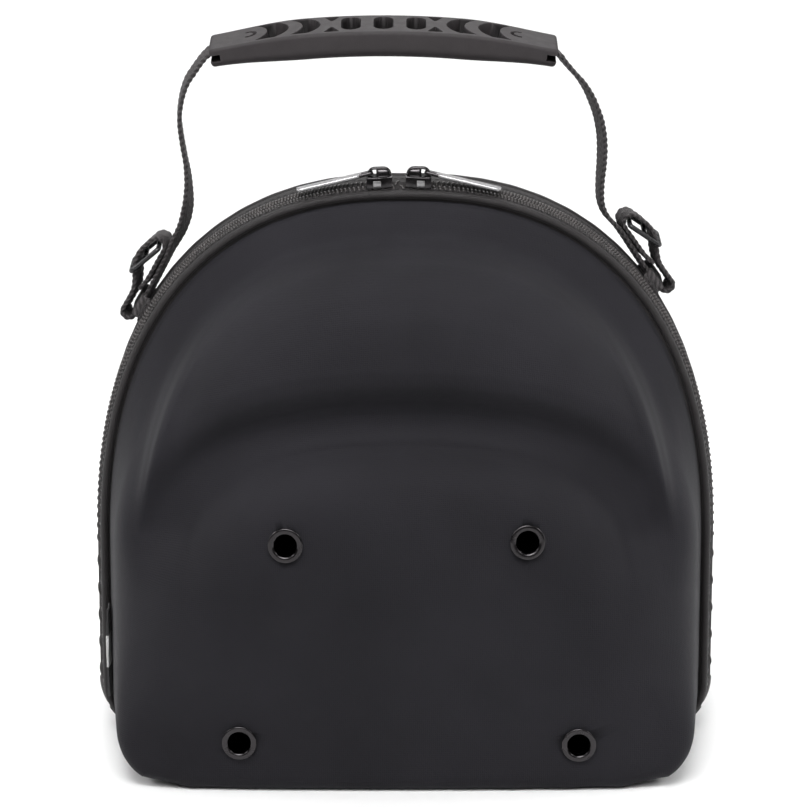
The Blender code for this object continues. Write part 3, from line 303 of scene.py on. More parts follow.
def shell_value(x, depth, z, rim, inset, field, crest, slope):
    """Below zero inside a moulded half, above zero outside it."""
    run = np.maximum(depth - rim, 0.0)
    draft = CORNER_DRAFT + (1.0 - CORNER_DRAFT) * smooth_step(z, 0.0, CORNER_REACH)
    wall_inset = inset + run * draft * math.tan(math.radians(DRAFT_DEG))
    foot = 2 * PIPING_RADIUS + SEAM_GAP
    bottom = inset * (1.0 - smooth_step(run, foot, foot + FOOT_RUN))
    face = field(x, z)
    growth = smooth_step(z, BOTTOM_ROUNDING, ROUNDING_CHANGE)
    rounding = BOTTOM_ROUNDING + (EDGE_ROUNDING - BOTTOM_ROUNDING) * growth
    body = smooth_max(wall_distance(x, z, wall_inset, bottom), depth - face, rounding)
    rim_distance = wall_distance(x, z, inset, inset)
    slope_share = -rim_distance / DOME_REACH
    risen = table_value(slope, slope_share)
    drop = (crest - rim) * (1.0 - risen)
    steepness = (table_value(slope, slope_share + 0.02) - risen) / 0.02 * (crest - rim) / DOME_REACH
    dome = np.maximum((depth - (face - drop)) / np.sqrt(1.0 + steepness**2), rim_distance)
    share, _ = arch_value(x, z, HALF_WIDTH, SPRING_HEIGHT, HEIGHT - SPRING_HEIGHT, ARCH_POWER)
    height_share = np.maximum(z - SPRING_HEIGHT, 0.0) / (HEIGHT - SPRING_HEIGHT) / share
    return body + (dome - body) * smooth_step(height_share, 0.10, 0.90)


def even(points, count, closed=False):
    """The same line with its points an even distance apart."""
    points = np.asarray(points, dtype=float)
    if closed:
        points = np.vstack((points, points[:1]))
    along = np.concatenate(([0.0], np.cumsum(np.linalg.norm(np.diff(points, axis=0), axis=1))))
    spots = np.linspace(0.0, along[-1], count + 1)
    return np.column_stack([np.interp(spots, along, points[:, axis]) for axis in range(points.shape[1])])


def outline(count, inset):
    """Even points right round the case's outline, moved inwards by inset, with their outward ways."""
    half = []
    flat = HALF_WIDTH - CORNER_RADIUS
    half += [(flat * share, 0.0, 0.0, -1.0) for share in np.linspace(0, 1, 30)]
    for angle in np.linspace(0, math.pi / 2, 40)[1:]:
        nx, nz = math.sin(angle), -math.cos(angle)
        half.append((flat + CORNER_RADIUS * nx, CORNER_RADIUS + CORNER_RADIUS * nz, nx, nz))
    half += [(HALF_WIDTH, z, 1.0, 0.0) for z in np.linspace(CORNER_RADIUS, SPRING_HEIGHT, 30)[1:]]
    rise = HEIGHT - SPRING_HEIGHT
    for angle in np.linspace(0, math.pi / 2, 300)[1:]:
        across = max(math.cos(angle), 0.0) ** (2 / ARCH_POWER)
        up = math.sin(angle) ** (2 / ARCH_POWER)
        nx, nz = across ** (ARCH_POWER - 1) / HALF_WIDTH, up ** (ARCH_POWER - 1) / rise
        size = math.hypot(nx, nz)
        half.append((HALF_WIDTH * across, SPRING_HEIGHT + rise * up, nx / size, nz / size))
    rows = np.array(half + [(-x, z, -nx, nz) for x, z, nx, nz in reversed(half[1:-1])])
    rows[:, :2] -= rows[:, 2:] * inset
    rows = even(rows, count, closed=True)
    rows[:, 2:] /= np.linalg.norm(rows[:, 2:], axis=1)[:, None]
    return rows


def zip_run(step, inset=0.0, above=True):
    """The stretch of the outline that the zip takes, or the stretch under the case between its ends."""
    rows = outline(6000, inset)[:-1]
    if above:
        rows = rows[rows[:, 1] > ZIP_END_HEIGHT]
    else:
        rows = np.roll(rows, len(rows) // 2, axis=0)
        rows = rows[rows[:, 1] < ZIP_END_HEIGHT - 2 * SEAM_GAP]
    length = np.linalg.norm(np.diff(rows[:, :2], axis=0), axis=1).sum()
    rows = even(rows, max(2, int(round(length / step))))
    rows[:, 2:] /= np.linalg.norm(rows[:, 2:], axis=1)[:, None]
    return rows


def in_space(rows):
    """Outline rows as points, outward ways and ways along +Y."""
    points = np.column_stack((rows[:, 0], np.zeros(len(rows)), rows[:, 1]))
    outs = np.column_stack((rows[:, 2], np.zeros(len(rows)), rows[:, 3]))
    return points, outs, np.tile(Y_WAY, (len(rows), 1))


def arch_spot(angle_deg, side):
    """A point on the outline's arch and its outward direction; the angle runs from the top."""
    rise = HEIGHT - SPRING_HEIGHT
    angle = math.radians(90.0 - angle_deg)
    across, up = math.cos(angle), math.sin(angle)
    share = (across**ARCH_POWER + up**ARCH_POWER) ** (1.0 / ARCH_POWER)
    across, up = across / share, up / share
    normal = np.array([across ** (ARCH_POWER - 1) / HALF_WIDTH, up ** (ARCH_POWER - 1) / rise])
    normal /= np.linalg.norm(normal)
    point = np.array([across * HALF_WIDTH, SPRING_HEIGHT + up * rise])
    return point * np.array([side, 1.0]), normal * np.array([side, 1.0])


def smooth_route(points, spacing):
    """Evenly spaced points on a smooth curve through a route's own points."""
    route = np.array(points, dtype=float)
    ends = np.vstack((2 * route[0] - route[1], route, 2 * route[-1] - route[-2]))
    dense = []
    for i in range(1, len(ends) - 2):
        p0, p1, p2, p3 = ends[i - 1 : i + 3]
        for t in np.linspace(0, 1, 24, endpoint=False):
            bend = 2 * p0 - 5 * p1 + 4 * p2 - p3
            dense.append(0.5 * (2 * p1 + (p2 - p0) * t + bend * t**2 + (3 * p1 - p0 - 3 * p2 + p3) * t**3))
    dense.append(route[-1])
    length = np.linalg.norm(np.diff(dense, axis=0), axis=1).sum()
    return even(dense, max(3, int(round(length / spacing))))


# Meshes


def get_points(mesh):
    flat = np.zeros(len(mesh.vertices) * 3)
    mesh.vertices.foreach_get("co", flat)
    return flat.reshape(-1, 3)


def set_points(mesh, points):
    mesh.vertices.foreach_set("co", points.ravel())


def from_bmesh(name, bm):
    """Turns a finished bmesh into a mesh."""
    mesh = bpy.data.meshes.new(name)
    bm.to_mesh(mesh)
    bm.free()
    return mesh


def bent_grid(name, points, uv, capped=False):
    """A grid bent into shape, with its doubles merged. uv is in metres along the surface."""
    rows, columns = points.shape[0] - 1, points.shape[1] - 1
    bm = bmesh.new()
    bm.loops.layers.uv.new("UVMap")
    bmesh.ops.create_grid(bm, x_segments=columns, y_segments=rows, size=1.0)
    mesh = from_bmesh(name, bm)
    flat = get_points(mesh)
    low, high = flat.min(axis=0), flat.max(axis=0)
    column = np.rint((flat[:, 0] - low[0]) / (high[0] - low[0]) * columns).astype(int)
    row = np.rint((flat[:, 1] - low[1]) / (high[1] - low[1]) * rows).astype(int)
    set_points(mesh, points[row, column])
    corner = np.zeros(len(mesh.loops), dtype=int)
    mesh.loops.foreach_get("vertex_index", corner)
    mesh.uv_layers["UVMap"].data.foreach_set("uv", uv[row[corner], column[corner]].ravel())
    bm = bmesh.new()
    bm.from_mesh(mesh)
    bmesh.ops.remove_doubles(bm, verts=bm.verts, dist=MERGE_DISTANCE)
    if capped:
        open_edges = [edge for edge in bm.edges if edge.is_boundary]
        bmesh.ops.holes_fill(bm, edges=open_edges, sides=0)
    bmesh.ops.recalc_face_normals(bm, faces=bm.faces)
    bm.to_mesh(mesh)
    bm.free()
    return mesh


def sweep(name, points, outs, acrosses, profile, relief=None, widths=None):
    """A closed profile of (out, across) corners carried along a line; relief lifts its surface."""
    profile = np.vstack((profile, profile[:1]))
    closed = np.allclose(points[0], points[-1], atol=1e-7)
    along = np.concatenate(([0.0], np.cumsum(np.linalg.norm(np.diff(points, axis=0), axis=1))))
    around = np.concatenate(([0.0], np.cumsum(np.linalg.norm(np.diff(profile, axis=0), axis=1))))
    out = np.tile(profile[:, 0], (len(points), 1))
    across = np.tile(profile[:, 1], (len(points), 1))
    if widths is not None:
        across = across * widths[:, None]
    if relief is not None:
        out = out + relief(along[:, None], across, np.sign(profile[:, 0] - profile[:, 0].mean())[None, :])
    spots = points[:, None, :] + outs[:, None, :] * out[:, :, None]
    spots = spots + acrosses[:, None, :] * across[:, :, None]
    uv = np.stack(np.broadcast_arrays(along[:, None], around[None, :]), axis=-1)
    return bent_grid(name, spots, uv, capped=not closed)


def plane_frames(points, across):
    """Outward ways along a line that lies in a plane square to across."""
    tangents = np.gradient(points, axis=0)
    tangents /= np.linalg.norm(tangents, axis=1)[:, None]
    outs = np.cross(tangents, across)
    outs /= np.linalg.norm(outs, axis=1)[:, None]
    return outs, np.tile(across, (len(points), 1))


def ring_profile(radius_out, radius_across, sides):
    angles = np.linspace(0, 2 * math.pi, sides, endpoint=False)
    return np.column_stack((radius_out * np.cos(angles), radius_across * np.sin(angles)))


def web_profile(width, thickness, steps):
    """A flat strip's section with soft edges; steps is the number of points on each face."""
    half, edge = width / 2, thickness / 2
    flat = np.linspace(-half + edge, half - edge, steps)
    rounds = np.linspace(math.pi / 2, -math.pi / 2, 7)[1:-1]
    points = [(edge, y) for y in flat]
    points += [(edge * math.sin(a), half - edge + edge * math.cos(a)) for a in rounds]
    points += [(-edge, y) for y in flat[::-1]]
    points += [(edge * math.sin(-a), -half + edge - edge * math.cos(a)) for a in rounds]
    return np.array(points)


def piece(name, mesh, material, body, nodes=(), smooth_deg=40.0):
    """A finished piece that rides on a body, with its finish and the CAD nodes it stands for."""
    mesh.shade_smooth()
    mesh.set_sharp_from_angle(angle=math.radians(smooth_deg))
    mesh.materials.clear()
    mesh.materials.append(material)
    made = bpy.data.objects.new(name, mesh)
    bpy.context.scene.collection.objects.link(made)
    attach(made, body)
    if nodes:
        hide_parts(*nodes)
    return made


def applied(made):
    """Turns a piece's modifiers into its mesh."""
    bpy.context.view_layer.update()
    evaluated = made.evaluated_get(bpy.context.evaluated_depsgraph_get())
    mesh = bpy.data.meshes.new_from_object(evaluated)
    made.modifiers.clear()
    made.data = mesh
    return made


def moved(mesh, place):
    mesh.transform(place)
    mesh.update()
    return mesh


def swept(name, line, profile, material, slot, nodes=(), body=CASE, smooth_deg=40.0, place=None, **extras):
    """A finished piece whose profile is carried along a line of (points, outs, acrosses)."""
    mesh = sweep(name, *line, profile, **extras)
    if place is not None:
        moved(mesh, place)
    return piece(name, mesh, material, body, nodes, smooth_deg)


def cut_out(made, name, bm):
    """Cuts a bmesh's solids out of a piece."""
    cutter = bpy.data.objects.new(name, from_bmesh(name, bm))
    bpy.context.scene.collection.objects.link(cutter)
    cut = made.modifiers.new(name, "BOOLEAN")
    cut.object = cutter
    cut.solver = "EXACT"
    applied(made)
    bpy.data.objects.remove(cutter)


def soft_edges(made, width, angle_deg):
    edge = made.modifiers.new("soft_edges", "BEVEL")
    edge.width = width
    edge.segments = 2
    edge.angle_limit = math.radians(angle_deg)
    applied(made)


def same_way(way, count):
    return np.tile(way, (count, 1))


def straight_line(start, end, steps, out, across):
    """A straight line of points with the same ways all along."""
    return np.linspace(start, end, steps + 1), same_way(out, steps + 1), same_way(across, steps + 1)


# Shader groups


def node(tree, kind, inputs=(), **settings):
    """Adds a node; inputs pairs a socket's name or number with a value or another node's output."""
    made = tree.nodes.new(kind)
    for key, value in settings.items():
        setattr(made, key, value)
    for key, value in dict(inputs).items():
        if isinstance(value, bpy.types.NodeSocket):
            tree.links.new(value, made.inputs[key])
        else:
            made.inputs[key].default_value = value
    return made


def maths(tree, operation, *values):
    return node(tree, "ShaderNodeMath", enumerate(values), operation=operation).outputs[0]


def blend_colors(tree, share, first, second):
    made = node(tree, "ShaderNodeMix", {0: share, 6: first, 7: second}, data_type="RGBA")
    return made.outputs[2]


def spread(tree, value, low, high, to_low=0.0, to_high=1.0):
    made = node(
        tree, "ShaderNodeMapRange",
        {"Value": value, "From Min": low, "From Max": high, "To Min": to_low, "To Max": to_high},
    )
    return made.outputs["Result"]


def noise(tree, vector, scale, detail=2.0, roughness=0.5):
    made = node(
        tree, "ShaderNodeTexNoise",
        {"Vector": vector, "Scale": scale, "Detail": detail, "Roughness": roughness},
    )
    return made.outputs["Fac"]


def new_group(name, inputs, outputs):
    tree = bpy.data.node_groups.new(name, "ShaderNodeTree")
    for label, kind in inputs:
        tree.interface.new_socket(name=label, in_out="INPUT", socket_type=kind)
    for label, kind in outputs:
        tree.interface.new_socket(name=label, in_out="OUTPUT", socket_type=kind)
    return tree, tree.nodes.new("NodeGroupInput"), tree.nodes.new("NodeGroupOutput")


FLOAT, VECTOR, COLOR = "NodeSocketFloat", "NodeSocketVector", "NodeSocketColor"


def weave_group():
    """Threads over and under each other. The vector is in metres along the cloth."""
    tree, source, result = new_group(
        "thread_weave",
        (("Vector", VECTOR), ("Pitch Along", FLOAT), ("Pitch Across", FLOAT)),
        (("Height", FLOAT), ("Thread", FLOAT)),
    )
    parts = node(tree, "ShaderNodeSeparateXYZ", {0: source.outputs["Vector"]})
    first, second = (
        maths(tree, "SINE", maths(
            tree, "MULTIPLY", maths(tree, "DIVIDE", parts.outputs[index], source.outputs[pitch]), math.pi))
        for index, pitch in enumerate(("Pitch Along", "Pitch Across"))
    )
    over = maths(tree, "GREATER_THAN", maths(tree, "MULTIPLY", first, second), 0.0)
    upper = maths(tree, "POWER", maths(tree, "ABSOLUTE", first), 0.6)
    lower = maths(tree, "POWER", maths(tree, "ABSOLUTE", second), 0.6)
    kept = maths(tree, "MULTIPLY", upper, over)
    other = maths(tree, "MULTIPLY", lower, maths(tree, "SUBTRACT", 1.0, over))
    fuzz = noise(tree, source.outputs["Vector"], 2600.0, 2.0)
    height = maths(tree, "ADD", maths(tree, "ADD", kept, other), maths(tree, "MULTIPLY", fuzz, 0.25))
    tree.links.new(height, result.inputs["Height"])
    tree.links.new(over, result.inputs["Thread"])
    return tree


def knit_group():
    """A fine brushed knit laminated on foam: small loops, a felt of hairs and slow changes of tone."""
    tree, source, result = new_group(
        "brushed_knit",
        (("Vector", VECTOR), ("Place", VECTOR), ("Loop", FLOAT)),
        (("Height", FLOAT), ("Tone", FLOAT), ("Fuzz", FLOAT)),
    )
    parts = node(tree, "ShaderNodeSeparateXYZ", {0: source.outputs["Vector"]})
    turns = maths(tree, "DIVIDE", math.pi, source.outputs["Loop"])
    wander = noise(tree, source.outputs["Vector"], 90.0, 2.0)
    wander = maths(tree, "MULTIPLY", maths(tree, "SUBTRACT", wander, 0.5), 2.4)
    wale, course = (
        maths(tree, "ABSOLUTE", maths(tree, "SINE", maths(
            tree, "ADD", maths(tree, "MULTIPLY", parts.outputs[index], turns), wander)))
        for index in (0, 1)
    )
    loops = maths(tree, "MULTIPLY", wale, course)
    felt = noise(tree, source.outputs["Place"], 1500.0, 3.0, 0.65)
    coarse = noise(tree, source.outputs["Place"], 420.0, 2.0)
    height = maths(tree, "ADD", maths(tree, "MULTIPLY", loops, 0.45), maths(tree, "MULTIPLY", felt, 0.9))
    height = maths(tree, "ADD", height, maths(tree, "MULTIPLY", coarse, 0.8))
    slow = noise(tree, source.outputs["Place"], 14.0, 3.0, 0.55)
    tone = maths(tree, "ADD", maths(tree, "MULTIPLY", felt, 0.5), maths(tree, "MULTIPLY", slow, 0.5))
    tree.links.new(height, result.inputs["Height"])
    tree.links.new(spread(tree, tone, 0.3, 0.7), result.inputs["Tone"])
    tree.links.new(spread(tree, felt, 0.35, 0.7), result.inputs["Fuzz"])
    return tree


def wear_group():
    """Rubbed edges, scratches and finger marks on a hard surface."""
    tree, source, result = new_group(
        "handled_surface",
        (("Vector", VECTOR), ("Edge Radius", FLOAT)),
        (("Edge", FLOAT), ("Marks", FLOAT), ("Height", FLOAT)),
    )
    bevel = node(tree, "ShaderNodeBevel", {"Radius": source.outputs["Edge Radius"]}, samples=6)
    geometry = node(tree, "ShaderNodeNewGeometry")
    turn = node(
        tree, "ShaderNodeVectorMath", {0: bevel.outputs[0], 1: geometry.outputs["Normal"]},
        operation="DOT_PRODUCT",
    )
    blotch = noise(tree, source.outputs["Vector"], 700.0, 4.0, 0.6)
    edge = spread(tree, turn.outputs["Value"], 0.995, 0.90)
    edge = maths(tree, "MULTIPLY", edge, spread(tree, blotch, 0.35, 0.65))
    marks = noise(tree, source.outputs["Vector"], 240.0, 5.0, 0.6)
    fine = noise(tree, source.outputs["Vector"], 3200.0, 2.0)
    tree.links.new(edge, result.inputs["Edge"])
    tree.links.new(spread(tree, marks, 0.3, 0.7), result.inputs["Marks"])
    tree.links.new(fine, result.inputs["Height"])
    return tree


WEAVE, KNIT, WEAR = weave_group(), knit_group(), wear_group()


# Materials


def new_material(name, roughness, metallic=0.0, **sockets):
    material = bpy.data.materials.new(name)
    material.use_nodes = True
    shader = material.node_tree.nodes["Principled BSDF"]
    shader.inputs["Roughness"].default_value = roughness
    shader.inputs["Metallic"].default_value = metallic
    for label, value in sockets.items():
        shader.inputs[label.replace("_", " ")].default_value = value
    return material, material.node_tree, shader


def finish(tree, shader, color, rough, height, depth, strength=1.0):
    """Feeds a material's colour, roughness and relief, depth metres high, to its shader."""
    tree.links.new(color, shader.inputs["Base Color"])
    if rough is not None:
        tree.links.new(rough, shader.inputs["Roughness"])
    relief = node(tree, "ShaderNodeBump", {"Strength": strength, "Distance": depth, "Height": height})
    tree.links.new(relief.outputs[0], shader.inputs["Normal"])


def use(tree, group, inputs):
    made = tree.nodes.new("ShaderNodeGroup")
    made.node_tree = group
    for key, value in inputs.items():
        if isinstance(value, bpy.types.NodeSocket):
            tree.links.new(value, made.inputs[key])
        else:
            made.inputs[key].default_value = value
    return made


def moulded_cloth():
    material, tree, shader = new_material(
        "moulded_black_knit", 0.88, Sheen_Weight=0.035, Sheen_Roughness=0.5, Specular_IOR_Level=0.22
    )
    spot = node(tree, "ShaderNodeTexCoord").outputs
    knit = use(tree, KNIT, {"Vector": spot["UV"], "Place": spot["Object"], "Loop": 0.00085})
    color = blend_colors(tree, knit.outputs["Tone"], (0.0046, 0.0042, 0.0060, 1), (0.0158, 0.0150, 0.0190, 1))
    rough = spread(tree, knit.outputs["Fuzz"], 0.0, 1.0, 0.74, 0.92)
    finish(tree, shader, color, rough, knit.outputs["Height"], 0.00016, 0.8)
    return material


def woven(name, dark, light, pitch_along, pitch_across, depth, roughness, sheen):
    """A woven tape, cord or thread."""
    material, tree, shader = new_material(
        name, roughness, Sheen_Weight=sheen, Sheen_Roughness=0.4, Specular_IOR_Level=0.35
    )
    spot = node(tree, "ShaderNodeTexCoord").outputs
    weave = use(tree, WEAVE, {
        "Vector": spot["UV"], "Pitch Along": pitch_along, "Pitch Across": pitch_across})
    slow = noise(tree, spot["Object"], 60.0, 3.0)
    # Partly painted shade: the colour darkens with the threads' height into the dips between threads; the
    # slow noise is real tone.
    share = maths(tree, "ADD", maths(tree, "MULTIPLY", weave.outputs["Height"], 0.55), maths(
        tree, "MULTIPLY", slow, 0.45))
    color = blend_colors(tree, spread(tree, share, 0.2, 1.0), (*dark, 1), (*light, 1))
    rough = spread(tree, weave.outputs["Height"], 0.0, 1.0, roughness + 0.08, roughness - 0.10)
    finish(tree, shader, color, rough, weave.outputs["Height"], depth)
    return material


def webbing_cloth():
    """Woven webbing whose slanting ribs meet along its middle."""
    material, tree, shader = new_material(
        "handle_webbing", 0.74, Sheen_Weight=0.05, Sheen_Roughness=0.4, Specular_IOR_Level=0.3
    )
    spot = node(tree, "ShaderNodeTexCoord").outputs
    weave = use(tree, WEAVE, {"Vector": spot["UV"], "Pitch Along": 0.0009, "Pitch Across": 0.0011})
    parts = node(tree, "ShaderNodeSeparateXYZ", {0: spot["UV"]})
    flat = WEB_WIDTH - WEB_VISIBLE
    place = maths(tree, "MODULO", parts.outputs[1], flat + math.pi * WEB_VISIBLE / 2)
    away = maths(tree, "ABSOLUTE", maths(tree, "SUBTRACT", place, flat / 2))
    slant = maths(tree, "ADD", parts.outputs[0], maths(tree, "MULTIPLY", away, RIB_SLANT))
    rib = maths(tree, "SINE", maths(tree, "MULTIPLY", slant, 2 * math.pi / RIB_PITCH))
    # Partly painted light: the colour follows the rib height, painting highlight on the crests and shade in
    # the grooves; the weave adds real grain.
    height = maths(tree, "ADD", spread(tree, rib, -0.8, 0.9), maths(
        tree, "MULTIPLY", weave.outputs["Height"], 0.6))
    color = blend_colors(
        tree, spread(tree, height, 0.1, 1.5), (0.0050, 0.0043, 0.0046, 1), (0.052, 0.047, 0.0485, 1))
    finish(tree, shader, color, spread(tree, height, 0.0, 1.6, 0.84, 0.62), height, 0.00022)
    return material


def label_cloth():
    """Black satin tape with one plain white woven stripe across its middle."""
    material, tree, shader = new_material("label_satin", 0.55, Sheen_Weight=0.1)
    spot = node(tree, "ShaderNodeTexCoord").outputs
    weave = use(tree, WEAVE, {"Vector": spot["UV"], "Pitch Along": 0.0004, "Pitch Across": 0.00025})
    height = node(tree, "ShaderNodeSeparateXYZ", {0: spot["Object"]}).outputs[2]
    middle = LABEL_BOTTOM + LABEL_HEIGHT * 0.52
    away = maths(tree, "ABSOLUTE", maths(tree, "SUBTRACT", height, middle))
    inside = maths(tree, "LESS_THAN", away, LABEL_STRIPE / 2)
    black = blend_colors(tree, weave.outputs["Thread"], (0.010, 0.010, 0.011, 1), (0.022, 0.021, 0.022, 1))
    white = blend_colors(tree, weave.outputs["Thread"], (0.52, 0.52, 0.51, 1), (0.70, 0.70, 0.69, 1))
    color = blend_colors(tree, inside, black, white)
    finish(tree, shader, color, None, weave.outputs["Height"], 0.00006)
    return material


def coated_metal(name, base, worn, roughness, metallic, edge_radius, coat=0.0):
    material, tree, shader = new_material(name, roughness, metallic, Coat_Weight=coat, Coat_Roughness=0.12)
    spot = node(tree, "ShaderNodeTexCoord").outputs
    wear = use(tree, WEAR, {"Vector": spot["Object"], "Edge Radius": edge_radius})
    color = blend_colors(tree, wear.outputs["Edge"], (*base, 1), (*worn, 1))
    rough = spread(tree, wear.outputs["Marks"], 0.0, 1.0, roughness - 0.07, roughness + 0.12)
    finish(tree, shader, color, rough, wear.outputs["Height"], 0.00001, 0.6)
    return material


def grip_rubber():
    material, tree, shader = new_material("charcoal_rubber", 0.62, Specular_IOR_Level=0.28)
    spot = node(tree, "ShaderNodeTexCoord").outputs
    wear = use(tree, WEAR, {"Vector": spot["Object"], "Edge Radius": 0.0010})
    # Painted shade: this mask darkens the rubber to near black inside the cut-outs, where shade falls.
    depth = node(tree, "ShaderNodeAttribute", attribute_name="pocket_shade").outputs["Fac"]
    plain = blend_colors(tree, wear.outputs["Marks"], (0.022, 0.0190, 0.0200, 1), (0.032, 0.0280, 0.0295, 1))
    plain = blend_colors(tree, wear.outputs["Edge"], plain, (0.048, 0.042, 0.044, 1))
    color = blend_colors(tree, depth, plain, (0.0035, 0.0026, 0.0029, 1))
    rough = spread(tree, wear.outputs["Marks"], 0.0, 1.0, 0.56, 0.74)
    finish(tree, shader, color, rough, noise(tree, spot["Object"], 1800.0, 3.0, 0.6), 0.00005)
    return material


def zip_nylon():
    material, tree, shader = new_material("coil_nylon", 0.36, Specular_IOR_Level=0.5)
    spot = node(tree, "ShaderNodeTexCoord").outputs
    tone = noise(tree, spot["Object"], 260.0, 3.0)
    share = spread(tree, tone, 0.3, 0.7)
    color = blend_colors(tree, share, (0.014, 0.012, 0.012, 1), (0.048, 0.042, 0.041, 1))
    rough = spread(tree, tone, 0.3, 0.7, 0.28, 0.48)
    finish(tree, shader, color, rough, noise(tree, spot["Object"], 2400.0), 0.00002)
    return material


CLOTH = moulded_cloth()
WEBBING = webbing_cloth()
TAPE = woven(
    "zip_tape", (0.0045, 0.0036, 0.0038), (0.0150, 0.0125, 0.0130), 0.00055, 0.00045, 0.00010, 0.78, 0.05
)
PIPING_CLOTH = woven(
    "piping_cloth", (0.0055, 0.0045, 0.0048), (0.0175, 0.0150, 0.0157), 0.0005, 0.0005, 0.00009, 0.66, 0.06
)
THREAD = woven(
    "sewing_thread", (0.008, 0.007, 0.0075), (0.026, 0.024, 0.0245), 0.0004, 0.0004, 0.00004, 0.62, 0.06
)
LABEL_CLOTH = label_cloth()
BLACK_METAL = coated_metal(
    "black_plated_metal", (0.030, 0.027, 0.029), (0.30, 0.27, 0.27), 0.20, 1.0, 0.0004, coat=0.5
)
BRIGHT_STEEL = coated_metal("bright_nickel", (0.36, 0.355, 0.36), (0.52, 0.51, 0.51), 0.32, 1.0, 0.0004)
BLACK_PLASTIC = coated_metal(
    "glossy_black_plastic", (0.012, 0.012, 0.013), (0.05, 0.05, 0.05), 0.24, 0.0, 0.0005
)
RUBBER = grip_rubber()
NYLON = zip_nylon()


# Moulded halves


FRONT_SHAPE = (FRONT_RIM, FRONT_SHELL_INSET, front_field, DOME_DEPTH, DOME_SLOPE)
REAR_SHAPE = (REAR_RIM, REAR_SHELL_INSET, rear_field, REAR_DEPTH, REAR_SLOPE)


def shell_points(spokes, rings, rim, inset, field, crest, slope):
    """A moulded half's outer surface: rings from its rim to the middle of its face, evenly spaced."""
    ends = outline(spokes, inset)
    flat = ends[:, :2] - np.array([0.0, SHELL_CENTRE_HEIGHT])
    flat /= np.linalg.norm(flat, axis=1)[:, None]
    lifts = np.radians(np.concatenate((np.linspace(0, 14, 40, endpoint=False), np.linspace(14, 90, 150))))
    ways = np.stack(
        np.broadcast_arrays(
            np.cos(lifts)[:, None] * flat[None, :, 0],
            np.sin(lifts)[:, None],
            np.cos(lifts)[:, None] * flat[None, :, 1],
        ),
        axis=-1,
    ).reshape(-1, 3)

    def value(reach):
        return shell_value(
            reach * ways[:, 0], rim + reach * ways[:, 1], SHELL_CENTRE_HEIGHT + reach * ways[:, 2],
            rim, inset, field, crest, slope,
        )

    step = 0.003
    high = np.zeros(len(ways))
    inside = np.ones(len(ways), dtype=bool)
    for index in range(1, int((HALF_WIDTH + HEIGHT) / step)):
        inside &= value(np.full(len(ways), index * step)) <= 0
        high = np.where(inside, index * step, high)
        if not inside.any():
            break
    low, high = high, high + step
    for _ in range(22):
        middle = (low + high) / 2
        out = value(middle) > 0
        high = np.where(out, middle, high)
        low = np.where(out, low, middle)
    spots = ways * high[:, None] + np.array([0.0, rim, SHELL_CENTRE_HEIGHT])
    spots = spots.reshape(len(lifts), spokes + 1, 3)
    spots[:, -1] = spots[:, 0]
    spots[-1] = spots[-1, :1]
    points = np.zeros((rings + 1, spokes + 1, 3))
    uv = np.zeros((rings + 1, spokes + 1, 2))
    for spoke in range(spokes + 1):
        points[:, spoke] = even(spots[:, spoke], rings)
        run = np.linalg.norm(np.diff(points[:, spoke], axis=0), axis=1)
        left = np.concatenate((np.cumsum(run[::-1])[::-1], [0.0]))
        uv[:, spoke] = left[:, None] * flat[spoke][None, :]
    return points, uv


def soft_waves(points, size):
    """The slow unevenness of a moulded foam wall, between -size and size."""
    x, y, z = points[..., 0], points[..., 1], points[..., 2]
    waves = np.sin(61 * x + 23 * z + 0.7) * np.sin(47 * z - 31 * y + 1.9)
    waves += 0.6 * np.sin(113 * x - 67 * y + 2.3) * np.sin(97 * z + 41 * x)
    return waves / 1.6 * size


def make_half(name, side, shape, spokes, rings, node_name):
    rim = shape[0]
    points, uv = shell_points(spokes, rings, *shape)
    free = smooth_step(points[..., 1], rim + 0.010, rim + 0.030) * smooth_step(points[..., 2], 0.004, 0.020)
    points[..., 1] += (soft_waves(points, 0.00035) - 0.00035) * free
    points[..., 1] *= -side
    mesh = bent_grid(name, points, uv)
    mesh.update()
    middle = max(mesh.polygons, key=lambda face: -side * face.center.y)
    if middle.normal.y * side > 0:
        mesh.flip_normals()
    half = piece(name, mesh, CLOTH, CASE, (node_name,), smooth_deg=60.0)
    wall = half.modifiers.new("wall", "SOLIDIFY")
    wall.thickness = WALL
    wall.offset = -1.0
    wall.use_even_offset = True
    applied(half)
    # The wall's inner side doesn't come past the rim
    co = get_points(half.data)
    co[:, 1] = -side * np.maximum(-side * co[:, 1], rim)
    set_points(half.data, co)
    return half


def front_spot(x, z):
    """The front half's outer point at x, z, and its outward direction."""
    depths = np.linspace(0.03, FRONT_DEPTH + 0.005, 4000)
    values = shell_value(np.full(4000, x), depths, np.full(4000, z), *FRONT_SHAPE)
    depth = depths[np.argmax(values > 0)]
    step = 0.0005
    moves = step * np.array([(1, 0, 0), (-1, 0, 0), (0, 1, 0), (0, -1, 0), (0, 0, 1), (0, 0, -1)])
    spots = np.array([x, depth, z]) + moves
    v = shell_value(spots[:, 0], spots[:, 1], spots[:, 2], *FRONT_SHAPE)
    normal = Vector((v[0] - v[1], v[3] - v[2], v[4] - v[5])).normalized()
    return Vector((x, -depth, z)), normal


def turned_to(point, normal):
    return Matrix.Translation(point) @ normal.to_track_quat("Z", "Y").to_matrix().to_4x4()


